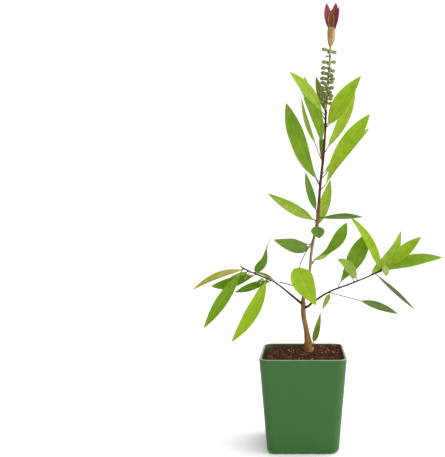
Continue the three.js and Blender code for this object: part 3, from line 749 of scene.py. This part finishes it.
leftSprayLeaves = [
    leafAt(0.08, (-25.5, -9.5, 14), 7, "olive", peak=0.45, arch=2.5, face=(0.3, -0.5, 1)),
    leafAt(0.24, (-42.5, 20.5, -15), 11.5, "mid", face=(0, -0.8, 0.7)),
    leafAt(0.34, (-37.7, -13, -66.4), 14.6, "bright", peak=0.48, sway=-3.4, arch=3),
    leafAt(0.36, (-25, 42, -56), 10, "mid", arch=3, face=back),
    leafAt(0.6, (-52.5, 21, -15), 13, "mid", peak=0.55, sway=-2, face=(0, -0.9, 0.5)),
    leafAt(0.65, (18.1, -12, 39.5), 10.4, "deep", peak=0.3, sway=0.4, hip=2.4, face=(0.2, -1, 0.2),
           twist=1.8),
    leafAt(0.8, (-34, 45, -25), 12, "bright", arch=1, face=back),
    leafAt(0.9, (-52.5, -17, -21), 8.5, "straw", peak=0.45, sway=2.4, arch=2.5, face=(0, -1, 0.9)),
    leafAt(0.92, (-39.5, -18, -61), 12.8, "mid", peak=0.52),
]
rightSprayLeaves = [
    leafAt(0.22, (37.6, 20, 50.9), 13.5, "fresh", peak=0.36, sway=5.6),
    leafAt(0.42, (43, -14.5, -39.5), 7, "shade", face=(0.5, -0.8, 0.8)),
    leafAt(0.55, (30, 40, 36), 11, "mid", sway=-5, arch=3, face=back),
    leafAt(0.74, (-38.5, -23, 61.8), 10.2, "bright", peak=0.4, sway=4),
    leafAt(0.8, (44, 42, 22), 12, "bright", arch=4, face=back),
    leafAt(0.85, (-0.8, -26, -6.5), 8, "pale", stalk=(0.2, -8, 5), peak=0.6, arch=1.5, face=(0, -1, 0.6)),
    leafAt(0.72, (65.7, -17.9, 15.5), 14, "clear", sway=-2.8, arch=2, face=(0, -1, 0.4)),
    leafAt(0.9, (37.5, -22, 36), 14, "bright", arch=2),
]


def addTube(batch, line, sides, rings, relief, level=False):
    # a tapering limb with its bark's relief, its rings level or square to its line
    rows = []
    for row in range(rings + 1):
        share = row / rings
        centre = line.point(share)
        along = Vector((0, 0, 1)) if level else line.heading(share)
        side = Vector((0, 1, 0)).cross(along).normalized()
        forward = along.cross(side)
        ring = []
        for k in range(sides):
            turn = 2 * math.pi * k / sides
            outward = side * math.cos(turn) + forward * math.sin(turn)
            radius = line.radius(share) + relief(centre, outward)
            ring.append(centre + outward * max(radius, 0.1))
        rows.append(ring)
    addRings(batch, rows, lambda row, k: 0)


def sideOf(leaf, line, share):
    # the way that a leaf leaves its limb
    return squareTo(Vector(leaf["stalk"] or leaf["reach"]), line.heading(share))


def shareOf(leaf, line):
    # its place along the limb: on the trunk a leaf's place is given as a height
    return line.shareAt(leaf["at"]) if leaf["at"] > 1 else leaf["at"]


def nodesOf(leaves, line):
    shares = [shareOf(leaf, line) for leaf in leaves]
    return [(line.point(share), sideOf(leaf, line, share)) for leaf, share in zip(leaves, shares)]


bark = {
    "tints": [(96, "#8C6236"), (125, "#9C7446"), (150, "#8C643C"), (195, "#A88C70"), (235, "#86683C"),
              (265, "#583210"), (368, "#44260C")],  # by height
    "grain": 0.9,
    "grainDepth": 0.2,
    "sides": 40,
    "rings": 260,
    "sunk": (6.0, 12, 95.6, 5.8),  # its foot, pressed into the potting mix
    "oldDepth": 0.42,  # relief of the bark at the foot
    "youngDepth": 0.07,
    "oldTo": 108,
    "youngFrom": 175,
    "nodeSwell": 0.4,  # where a leaf leaves the stem
    "nodeLength": 1.7,
    # snags under the spike: height, the way that each points in radians, and length
    "snags": ((356, 3.3, 2.4), (360.5, 3.0, 3.0), (365, 3.5, 2.6), (362.5, 0.4, 2.0)),
    # the dry foot of a shed leaf, still pressed to the stem
    "shedFoot": [(10.7, 11, 97, 0.6), (10.3, 10.8, 103, 0.9), (8.9, 10.2, 110, 0.8), (7.3, 9.8, 117, 0.3)],
}
trunk = Strand(trunkKnots)
trunkNodes = nodesOf(trunkLeaves, trunk)


def nodeSwell(spot, outward, nodes, swell, length):
    total = 0
    for node, side in nodes:
        gap = (spot - node).length
        if gap < length * 3:
            total += swell * math.exp(-(gap / length) ** 2) * (0.5 + 0.5 * outward.dot(side))
    return total


def trunkRelief(spot, outward):
    # fibres, fine round the stem and drawn out along it, deepest where it is oldest
    age = 1 - eased(spot.z, bark["oldTo"], bark["youngFrom"])
    fibres = noise.fractal(Vector((outward.x * 2.6, outward.y * 2.6, spot.z * 0.09)), 0.7, 2.2, 4)
    depth = mixed(bark["youngDepth"], bark["oldDepth"], age)
    return fibres * depth + nodeSwell(spot, outward, trunkNodes, bark["nodeSwell"], bark["nodeLength"])


def twigRelief(nodes, depth=0.06, swell=0.3, length=1.2):
    # fine bark that swells where a leaf leaves it, over a length in millimetres
    def relief(spot, outward):
        grain = noise.fractal((spot * 0.5 + outward * 1.5), 0.8, 2.1, 3)
        return grain * depth + nodeSwell(spot, outward, nodes, swell, length)
    return relief


def addStub(batch, spot, toward, length, radius, narrowing=0.35, sides=10, depth=0.1):
    # a short snag where a leaf or a shoot has fallen, or a resting bud
    toward = Vector(toward).normalized()
    knots = [(*(spot + toward * length * share), radius * (1 - narrowing * share)) for share in (0, 0.5, 1)]
    addTube(batch, Strand(knots, 40), sides, 6, twigRelief([], depth))


def makeTrunk():
    wood = fibrousBark("young_bottlebrush_bark", bark["tints"], bark["grain"], bark["grainDepth"])
    batch = newBatch()
    line = Strand([bark["sunk"]] + trunkKnots)
    addTube(batch, line, bark["sides"], bark["rings"], trunkRelief, level=True)
    for height, turn, length in bark["snags"]:
        spot = trunk.point(trunk.shareAt(height))
        addStub(batch, spot, (math.cos(turn), math.sin(turn), 0.5), length, 0.6)
    makePiece("trunk_bark", batch, [wood], ["trunk"], sharpDegrees=180)
    batch = newBatch()
    addTube(batch, Strand(bark["shedFoot"], 60), 12, 24, twigRelief([], depth=0.1))
    makePiece("shed_leaf_foot", batch, [fleshyBud("dry_leaf_foot", "#BEA042", "#8E7434", 0.6)], [])


# root: where a bough's line starts inside the trunk. end: the leafy end that it runs into.
# stubs: place, direction, length and radius.
boughs = {
    "right": {"knots": rightBough, "root": (0.6, 9.3, 146.8), "end": rightEnd, "rings": 90,
              "leaves": rightBoughLeaves,
              "stubs": [(0.66, (0.9, -0.3, -0.15), 3, 0.5), (0.27, (0.2, -0.2, 1), 1.8, 0.5)]},
    "left": {"knots": leftBough, "root": (0.2, 9.3, 150.4), "end": leftEnd, "rings": 50,
             "leaves": [], "stubs": [(0.62, (-0.1, -0.4, 1), 1.8, 0.45)]},
}


def makeBoughs():
    for side, bough in boughs.items():
        knots = bough["knots"]
        line = Strand(knots)
        whole = Strand([(*bough["root"], knots[0][3] * 1.3)] + knots + [bough["end"][0]])
        batch = newBatch()
        addTube(batch, whole, 20, bough["rings"], twigRelief(nodesOf(bough["leaves"], line)))
        for share, toward, length, radius in bough["stubs"]:
            addStub(batch, line.point(share), toward, length, radius)
        makePiece("bough_" + side, batch, [twigBark], [side + "_bough"], sharpDegrees=180)
    batch = newBatch()
    addTube(batch, Strand([bareTwigRoot] + bareTwig), 12, 40, twigRelief([], depth=0.04))
    makePiece("twig_bare", batch, [twigBark], ["bare_twig"], sharpDegrees=180)


makeTrunk()
makeBoughs()
print("trunk and boughs made")


blade = {
    "stalkHalf": 0.5,
    "stalkShare": 0.06,  # a short stalk's part of the reach
    "sprayStalkShare": 0.04,  # the same on the leafy ends
    "gap": 0.3,  # the leaf's line starts this far clear of its limb
    "bends": (0.33, 0.67),
    "fold": 0.1,  # how far each edge stands up, as a share of the half width
    "full": 0.85,  # the lower, the fuller its outline
    "flatBy": 0.1,  # where the round stalk has become flat
    "thick": 0.42,
    "edgeThick": 0.2,
    "tipThin": 0.35,  # how much thinner it is at the tip
    "thinUnder": 60,  # a leaf shorter than this is thinner in step
    "sideHalf": 0.02,  # least half thickness of a stalk's sides
    "ribHalf": 0.38,
    "ribMost": 0.2,  # of the half width
    "ribDepth": 0.14,
    "ribSwell": 0.3,  # how far the rib stands out below
    "ripple": 0.018,  # the edge's waves, as a share of the width
    "waves": 9,  # in radians from stalk to tip
    "waveShift": 1.1,  # between one edge and the other
    "stalkRings": {"short": 3, "long": 7},
    "stations": 26,
    "lastRing": 0.985,
    "columns": (0.24, 0.42, 0.6, 0.76, 0.9, 1.0),
}


def bladeOutline(share, peak):
    warped = share ** (math.log(0.5) / math.log(peak))
    return max(math.sin(math.pi * warped), 0) ** blade["full"]


def leafLine(leaf, node, start, rooted):
    # a leaf's line, from its start through the end of its stalk and two bends to its tip, and
    # the stalk's part of it
    reach = Vector(leaf["reach"])
    short = reach * blade["stalkShare" if rooted else "sprayStalkShare"]
    stalkEnd = node + Vector(leaf["stalk"]) if leaf["stalk"] else start + short
    tip = node + reach
    spine = tip - stalkEnd
    along = spine.normalized()
    faceward = squareTo(Vector(leaf["face"]), along)
    across = along.cross(faceward)
    asides = (leaf["sway"] + leaf["hip"], leaf["sway"])
    low, high = [stalkEnd + spine * bend + across * aside + faceward * leaf["arch"]
                 for bend, aside in zip(blade["bends"], asides)]
    line = Strand([start, stalkEnd, low, high, tip], 200)
    return line, (stalkEnd - start).length / line.length


def leafRing(leaf, line, share, bladeShare, fold, phase):
    # the points round a leaf at one place, and where each of them lies on the flat leaf
    centre = line.point(share)
    tangent = line.heading(share)
    facing = squareTo(Vector(leaf["face"]), tangent)
    normal = Quaternion(tangent, leaf["twist"] * bladeShare) @ facing
    side = tangent.cross(normal)
    half = leaf["wide"] / 2 * bladeOutline(bladeShare, leaf["peak"])
    half = max(half, blade["stalkHalf"] * (1 - bladeShare))
    flat = eased(bladeShare, 0, blade["flatBy"])
    rib = min(blade["ribHalf"] / half, blade["ribMost"]) * (1 - 0.5 * bladeShare)
    columns = [-u for u in reversed(blade["columns"])] + [-rib, 0, rib] + list(blade["columns"])
    thin = (1 - blade["tipThin"] * bladeShare) * min(line.length / blade["thinUnder"], 1)
    upper, lower = [], []
    for u in columns:
        rise = fold * half * (0.5 * abs(u) + 0.5 * u * u)
        wave = math.sin(bladeShare * blade["waves"] + phase + math.copysign(blade["waveShift"], u))
        rise += wave * blade["ripple"] * leaf["wide"] * u * u * math.sin(math.pi * bladeShare)
        nearRib = math.exp(-(u * half / blade["ribHalf"]) ** 2) * thin
        thick = mixed(blade["thick"], blade["edgeThick"], abs(u)) * thin
        bulge = math.sqrt(max(1 - u * u, 0)) * blade["stalkHalf"]
        top = mixed(bulge, rise - blade["ribDepth"] * nearRib, flat)
        bottom = mixed(-bulge, rise - thick - blade["ribSwell"] * nearRib, flat)
        if abs(u) == 1:
            top, bottom = top + blade["sideHalf"], bottom - blade["sideHalf"]
        upper.append(centre + side * u * half + normal * top)
        lower.append(centre + side * u * half + normal * bottom)
    spots = [(u * half, share * line.length) for u in columns]
    return upper + lower[::-1], spots + spots[::-1]


def addLeaf(batch, leaf, node, start, slots=(0, 1, 2, 3), fold=blade["fold"], rooted=True, edged=False):
    # One leaf from its node: a round stalk that flattens into a thin blade with a rib. Its slots are
    # the upper face, the midrib, the underside and the stalk, which gives its finish to the edge too.
    line, stalkPart = leafLine(leaf, node, start, rooted)
    tip = node + Vector(leaf["reach"])
    phase = (tip.x * 1.7 + tip.z * 2.3) % (2 * math.pi)  # each leaf's waves start elsewhere
    stalkRows = blade["stalkRings"]["long" if leaf["stalk"] else "short"]
    shares = [stalkPart * row / stalkRows for row in range(stalkRows)]
    shares += [mixed(stalkPart, 1, row / blade["stations"]) for row in range(blade["stations"])]
    shares.append(mixed(stalkPart, 1, blade["lastRing"]))
    rows, maps = [], []
    for share in shares:
        bladeShare = max(share - stalkPart, 0) / (1 - stalkPart)
        ring, spots = leafRing(leaf, line, share, bladeShare, fold, phase)
        rows.append(ring)
        maps.append(spots)
    if rooted:
        shift = node - line.point(0)
        rows.insert(0, [point + shift for point in rows[0]])
        maps.insert(0, maps[0])
        stalkRows += 1
    count = len(rows[0]) // 2
    middle = count // 2

    def slotOf(row, k):
        onEdge = edged and k in (0, 1, count - 3, count - 2)
        if row < stalkRows or onEdge:
            return slots[3]
        if k >= count:
            return slots[2]
        return slots[1] if k in (middle - 1, middle) else slots[0]

    addRings(batch, rows, slotOf, maps, tip)


def makeLeaves(name, leaves, line):
    for index, leaf in enumerate(leaves):
        share = shareOf(leaf, line)
        clear = line.radius(share) + blade["gap"] + blade["stalkHalf"] * 1.5
        start = line.point(share) + sideOf(leaf, line, share) * clear
        batch = newBatch()
        addLeaf(batch, leaf, line.point(share), start)
        number = "_%02d" % (index + 1)
        makePiece("blade_" + name + number, batch, leafSet(leaf["tone"]), [name + "_leaf" + number])


makeLeaves("trunk", trunkLeaves, trunk)
makeLeaves("right_bough", rightBoughLeaves, Strand(rightBough))
print("single leaves made")


# lean: the way that the side shoots of a leafy end stand
sprays = {
    "left_spray": {"knots": leftEnd, "leaves": leftSprayLeaves, "lean": (-0.7, 1, -0.6), "seed": 5},
    "right_spray": {"knots": rightEnd, "leaves": rightSprayLeaves, "lean": (0.8, 1, 0.4), "seed": 9},
}
shoots = {
    "places": (0.45, 0.75),
    "twig": 11,
    "twigRadius": 0.5,
    "leaves": 3,
    "leafLong": 15,
    "leafWide": 4.5,
    "stray": 0.5,  # the range in which a twig's or leaf's tip strays, as a share of its length
    "swing": 0.7,  # how far round the leaf opposite stands, as a share of the leaf's length
    "finerLong": 0.5,  # its size, as a share of the leaf's
    "finerWide": 0.6,
    "budLong": 2.2,  # of the resting bud in each leaf's angle
    "budRadius": 0.55,
    "budRise": 0.6,  # how far it leans along its limb
    "tone": "fresh",
}


def addSideShoot(twigs, leaves, line, share, lean, draw, slots):
    # a short twig that leans one way, give or take, with small leaves along it
    def strayed(length):
        stray = Vector((draw() - 0.5, draw() - 0.5, draw() - 0.5)) * length * shoots["stray"]
        return Vector(lean).normalized() * length + stray

    node = line.point(share)
    tip = node + strayed(shoots["twig"])
    twig = Strand([(*node.lerp(tip, part / 2), shoots["twigRadius"] - part * 0.1) for part in range(3)])
    for index in range(shoots["leaves"]):
        place = (index + 1) / (shoots["leaves"] + 0.5)
        foot = twig.point(place)
        reach = strayed(shoots["leafLong"])
        opposite = reach - squareTo(reach, twig.heading(place)) * shoots["leafLong"] * shoots["swing"]
        finer = leafAt(place, opposite * shoots["finerLong"], shoots["leafWide"] * shoots["finerWide"],
                       shoots["tone"], face=upward)
        for leaf in (leafAt(place, reach, shoots["leafWide"], shoots["tone"], face=upward), finer):
            addLeaf(leaves, leaf, foot, foot, slots, rooted=False)
    addTube(twigs, twig, 10, 12, twigRelief([], depth=0.04))


def makeSpray(name, knots, leaves, lean, seed):
    draw = seeded(seed)
    line = Strand(knots)
    tones = sorted({leaf["tone"] for leaf in leaves} | {shoots["tone"]})
    materials = [material for tone in tones for material in leafSet(tone)]
    bases = {tone: tones.index(tone) * 4 for tone in tones}
    twigs, blades = newBatch(), newBatch()
    nodes = nodesOf(leaves, line)
    for leaf, (node, _) in zip(leaves, nodes):
        base = bases[leaf["tone"]]
        addLeaf(blades, leaf, node, node, range(base, base + 4), rooted=False)
    addTube(twigs, line, 16, 80, twigRelief(nodes))
    for node, side in nodes:
        toward = side + line.heading(0.5) * shoots["budRise"]
        addStub(twigs, node, toward, shoots["budLong"], shoots["budRadius"], narrowing=0.7, sides=8,
                depth=0.03)
    base = bases[shoots["tone"]]
    for share in shoots["places"]:
        addSideShoot(twigs, blades, line, share, lean, draw, range(base, base + 4))
    makePiece(name + "_twigs", twigs, [twigBark], [name], sharpDegrees=180)
    makePiece(name + "_leaves", blades, materials, [name])


for name, spray in sprays.items():
    makeSpray(name, **spray)
print("leafy ends made")


spike = {
    "line": [
        (25.3, 1.3, 366.6, 1.0),
        (26, 1, 376, 0.9),
        (27.2, 0.8, 393.5, 0.85),
        (28.2, 0.4, 405, 0.8),
        (29.2, 0, 416, 0.75),
        (29.9, 0, 436, 0.7),
    ],
    # The buds stand in files: the way that each faces in degrees, its highest bud, the step between
    # its top two, and how far the middle of a bud is from the spike's middle line.
    "files": [
        (180, 431, 6.5, 6.2),
        (5, 429.2, 10.8, 4.8),
        (262, 428, 6.6, 4.6),
        (80, 431, 6.6, 4.6),
        (215, 405, 7, 5),
        (320, 402, 7.6, 4.6),
    ],
    "highest": 431,
    "lowest": 372.5,
    "crowding": 0.72,  # the bottom step of a file as a part of its top one
    "stray": 0.45,  # the range of turns in which the buds of a file stand, in radians
    "strayUp": 0.6,
    "smallFrom": 426,  # buds between these heights stay small
    "smallTo": 421,
    "small": 0.6,
    "budLong": 5.6,
    "budWide": 4.2,
    "neck": 0.72,  # how much the stem end of a bud narrows
    "lobes": 5,
    "lobeDepth": 0.07,  # as a share of the bud's radius
    "lobesFrom": 0.2,  # the lobes rise between these places, 0 at its middle and 1 at its end
    "lobesTo": 0.8,
    "stemHalf": 0.45,
    "lift": 0.05,  # how far a bud points up, and the range in which that strays
    "liftStray": 0.16,
    "sizes": (0.94, 1.06),
    "dimple": 0.93,  # where its end is sunk to, as a share of its length
    "rings": 15,
    "sepalRing": 11,  # the first ring that takes the sepals' finish
    "around": 18,
    "finishes": {
        "spike_stem": ("#7E7828", "#5A521C", 0.6),
        "bud_flesh": ("#8E9252", "#6C7240"),
        "bud_sepals": ("#62662C", "#464A1E"),
    },
    "seed": 2120,
}


def addBud(batch, centre, outward, stalk, scale):
    side = outward.cross(Vector(upward)).normalized()
    rise = side.cross(outward)
    middle = centre + outward * stalk * scale
    long = spike["budLong"] / 2 * scale
    wide = spike["budWide"] / 2 * scale
    rows = []
    for step in range(1, spike["rings"] + 1):
        place = -math.cos(math.pi * step / (spike["rings"] + 1))  # -1 at the stem, 1 at the outer end
        inward = max(0, -place)
        swell = wide * math.sqrt(1 - place * place) * (1 - spike["neck"] * inward ** 1.2)
        reach = place * (stalk * scale if place < 0 else long)
        lobeRise = spike["lobeDepth"] * eased(place, spike["lobesFrom"], spike["lobesTo"])
        ring = []
        for k in range(spike["around"]):
            turn = 2 * math.pi * k / spike["around"]
            lobed = 1 + lobeRise * math.cos(turn * spike["lobes"])
            spoke = side * math.cos(turn) + rise * math.sin(turn)
            ring.append(middle + outward * reach + spoke * max(swell, spike["stemHalf"] * scale) * lobed)
        rows.append(ring)
    dimple = middle + outward * long * spike["dimple"]
    addRings(batch, rows, lambda row, k: int(row >= spike["sepalRing"]), None, dimple)


def makeSpike():
    draw = seeded(spike["seed"])
    line = Strand(spike["line"])
    stem, buds = newBatch(), newBatch()
    nodes = []
    for facing, height, step, stalk in spike["files"]:
        while height > spike["lowest"]:
            down = (spike["highest"] - height) / (spike["highest"] - spike["lowest"])
            turn = math.radians(facing) + (draw() - 0.5) * spike["stray"]
            lift = spike["lift"] + (draw() - 0.5) * spike["liftStray"]
            outward = Vector((math.cos(turn), math.sin(turn), lift)).normalized()
            isSmall = spike["smallTo"] < height < spike["smallFrom"]
            scale = (spike["small"] if isSmall else 1) * mixed(*spike["sizes"], draw())
            foot = line.point(line.shareAt(height + (draw() - 0.5) * spike["strayUp"]))
            addBud(buds, foot, outward, stalk, scale)
            nodes.append((foot, outward))
            height -= step * mixed(1, spike["crowding"], down)
    addTube(stem, line, 20, 90, twigRelief(nodes, depth=0.05, swell=0.45))
    stemGreen, flesh, sepals = [fleshyBud(name, *values) for name, values in spike["finishes"].items()]
    makePiece("spike_axis", stem, [stemGreen], ["bud_spike"], sharpDegrees=180)
    makePiece("spike_buds", buds, [flesh, sepals], ["bud_spike"])


makeSpike()
print("bud spike made")


tuft = {
    "line": [
        (30.1, 0, 436.4, 2),
        (30.6, 0, 440.5, 3.6),
        (31, 0, 446.5, 4.5),
        (31, 0, 453, 4.3),
        (30.7, 0, 458, 2.6),
    ],
    "neck": (29.9, 0, 434.4, 0.8),  # where its core closes on the spike
    "peak": 0.55,
    "fold": 0.3,
    "arch": -1,
    "leaves": [
        leafAt(0.25, (-5, -3, 40.2), 8.5, "flushed", face=(0.35, -1, 0)),
        leafAt(0.25, (5.3, -2.5, 40.7), 9, "flushed", face=(-0.35, -1, 0)),
        leafAt(0.25, (9.4, 3.5, 39.4), 6.5, "pink", face=(-1, -0.5, 0)),
        leafAt(0.25, (-0.1, -6.5, 30), 7.2, "bronze", face=(0, -1, 0)),
        leafAt(0.25, (1, 7, 36.5), 8, "flushed", face=(0, 1, 0)),
        leafAt(0.25, (-4, 6, 35), 7, "pink", face=(-1, 0.6, 0)),
    ],
    # the colour and the vein's colour of each finish, in the order of leafParts
    "flushes": {
        "flushed": (("#80333C", "#A85058"), ("#6E2630", "#7C323C"), ("#8A3A44", "#A05A60"),
                    ("#4A1A20", "#5A2830")),
        "pink": (("#A85A66", "#BC7C84"), ("#7E3642", "#8E4652"), ("#B06A72", "#C08A90"),
                 ("#5A2830", "#6A3840")),
        "bronze": (("#523A10", "#6B5020"), ("#43300E", "#523A10"), ("#6B5028", "#806838"),
                   ("#966A42", "#A87E58")),
    },
    "leafParts": (("leaf", -0.6), ("midrib", 0.1), ("underside", 0.8), ("edge", 0.1)),  # vein depths
    "scales": 14,
    "scaleLong": 18,
    "scaleSizes": (0.75, 1.1),  # from the shortest to the longest, as a share of scaleLong
    "scaleWide": 3,
    "scaleFold": -0.25,  # its edges curl in round the core
    "scalesTo": 0.45,  # how far up its core the scales are rooted
    "scaleTurn": 2.4,  # from one to the next, in radians
    "papery": {
        "papery_scale": ("#B0965F", "#66502A"),
        "papery_scale_brown": ("#80622F", "#4A3618"),
    },
    "seed": 12,
}


def makeTuft():
    line = Strand(tuft["line"])
    leaves, sheath = newBatch(), newBatch()
    for young in tuft["leaves"]:
        rx, ry, _ = young["reach"]
        leaf = {**young, "stalk": (rx * 0.4, ry * 0.5, 10), "peak": tuft["peak"], "arch": tuft["arch"]}
        foot = line.point(young["at"])
        base = list(tuft["flushes"]).index(young["tone"]) * 4
        addLeaf(leaves, leaf, foot, foot, range(base, base + 4), tuft["fold"], rooted=False, edged=True)
    draw = seeded(tuft["seed"])
    addTube(sheath, Strand([tuft["neck"]] + tuft["line"]), 20, 36, twigRelief([], depth=0.1))
    for index in range(tuft["scales"]):
        turn = index * tuft["scaleTurn"]
        place = mixed(0.02, tuft["scalesTo"], index / tuft["scales"])
        outward = Vector((math.cos(turn), math.sin(turn), 0))
        start = line.point(place) + outward * line.radius(place) * 0.7
        length = tuft["scaleLong"] * mixed(*tuft["scaleSizes"], draw())
        # its tip leans in toward the core, higher up
        end = line.point(min(place + 0.55, 1)) + outward * (line.radius(0.8) * 0.75)
        reach = (end - start).normalized() * length
        scale = leafAt(place, reach, tuft["scaleWide"], None, face=outward + Vector((0, 0, 0.01)),
                       arch=0.5, peak=0.45)
        addLeaf(sheath, scale, start, start, [index % 2] * 4, tuft["scaleFold"], rooted=False)
    reds = [flushedLeaf(flush + "_" + part, colour, vein, depth)
            for flush, colours in tuft["flushes"].items()
            for (part, depth), (colour, vein) in zip(tuft["leafParts"], colours)]
    papery = [paperyScale(name, *colours) for name, colours in tuft["papery"].items()]
    makePiece("tuft_leaves", leaves, reds, ["red_tuft"])
    makePiece("tuft_sheath", sheath, papery, ["red_tuft"])


makeTuft()
print("red tuft made")


studio = {
    "cameraAway": 0.657,
    "cameraUp": 0.2349,
    "lens": 47.03,
    "shift": -0.1763,
    "floorRadius": 7,
    "floorColour": "#FBFBFA",
    "room": 2.8,
    # how bright the room is, from its left at 0 to its right at 1
    "walls": [(0.14, "#383838"), (0.28, "#ADADAD"), (0.74, "#ADADAD"), (0.82, "#FFFFFF")],
    "aim": (0, 0, 0.25),
    # each softbox: where it stands, its width and its power
    "lights": {
        "softboxRight": ((1.5, -0.3, 0.7), 1.0, 3),
        "softboxFront": ((0.4, -1.5, 1.2), 0.9, 2),
        "softboxTop": ((0.1, 0.3, 1.6), 1.0, 6),
    },
}


def makeCamera():
    view = bpy.data.cameras.new("camera")
    view.sensor_width = 36
    view.lens = studio["lens"]
    view.shift_x = studio["shift"]
    view.clip_start = 0.01
    camera = addObject("camera", view)
    camera.location = (0, -studio["cameraAway"], studio["cameraUp"])
    camera.rotation_euler = (math.radians(90), 0, 0)
    bpy.context.scene.camera = camera


def makeFloor():
    mesh = bpy.data.meshes.new("studio_floor")
    shape = bmesh.new()
    bmesh.ops.create_circle(shape, cap_ends=True, segments=96, radius=studio["floorRadius"])
    shape.to_mesh(mesh)
    shape.free()
    floor = addObject("studio_floor", mesh)
    # sprayed matt paint on board: even, pale and dull
    finish = {"Roughness": 0.85, "Base Color": linear(studio["floorColour"])}
    mesh.materials.append(newMaterial("matt_paint", finish)[0])


def makeLights():
    for name, (place, width, power) in studio["lights"].items():
        lamp = bpy.data.lights.new(name, "AREA")
        lamp.size = width
        lamp.energy = power
        light = addObject(name, lamp)
        light.location = place
        light.rotation_euler = (Vector(studio["aim"]) - Vector(place)).to_track_quat("-Z", "Y").to_euler()


def makeRoom():
    # a white room with a dull wall on the left and a wall of windows on the right
    room = bpy.data.worlds.new("softRoom")
    room.use_nodes = True
    tree = room.node_tree
    around = addNode(tree, "TexCoord").outputs["Generated"]
    across = addNode(tree, "SeparateXYZ", {"Vector": around}).outputs["X"]
    share = addNode(tree, "MapRange", {"Value": across, "From Min": -1.0, "From Max": 1.0})
    walls = addNode(tree, "ValToRGB", {"Fac": share}, studio["walls"])
    setInputs(tree, tree.nodes["Background"], {"Color": walls, "Strength": studio["room"]})
    bpy.context.scene.world = room
    bpy.context.scene.view_settings.view_transform = "Standard"


makeCamera()
makeFloor()
makeLights()
makeRoom()
print("studio made")
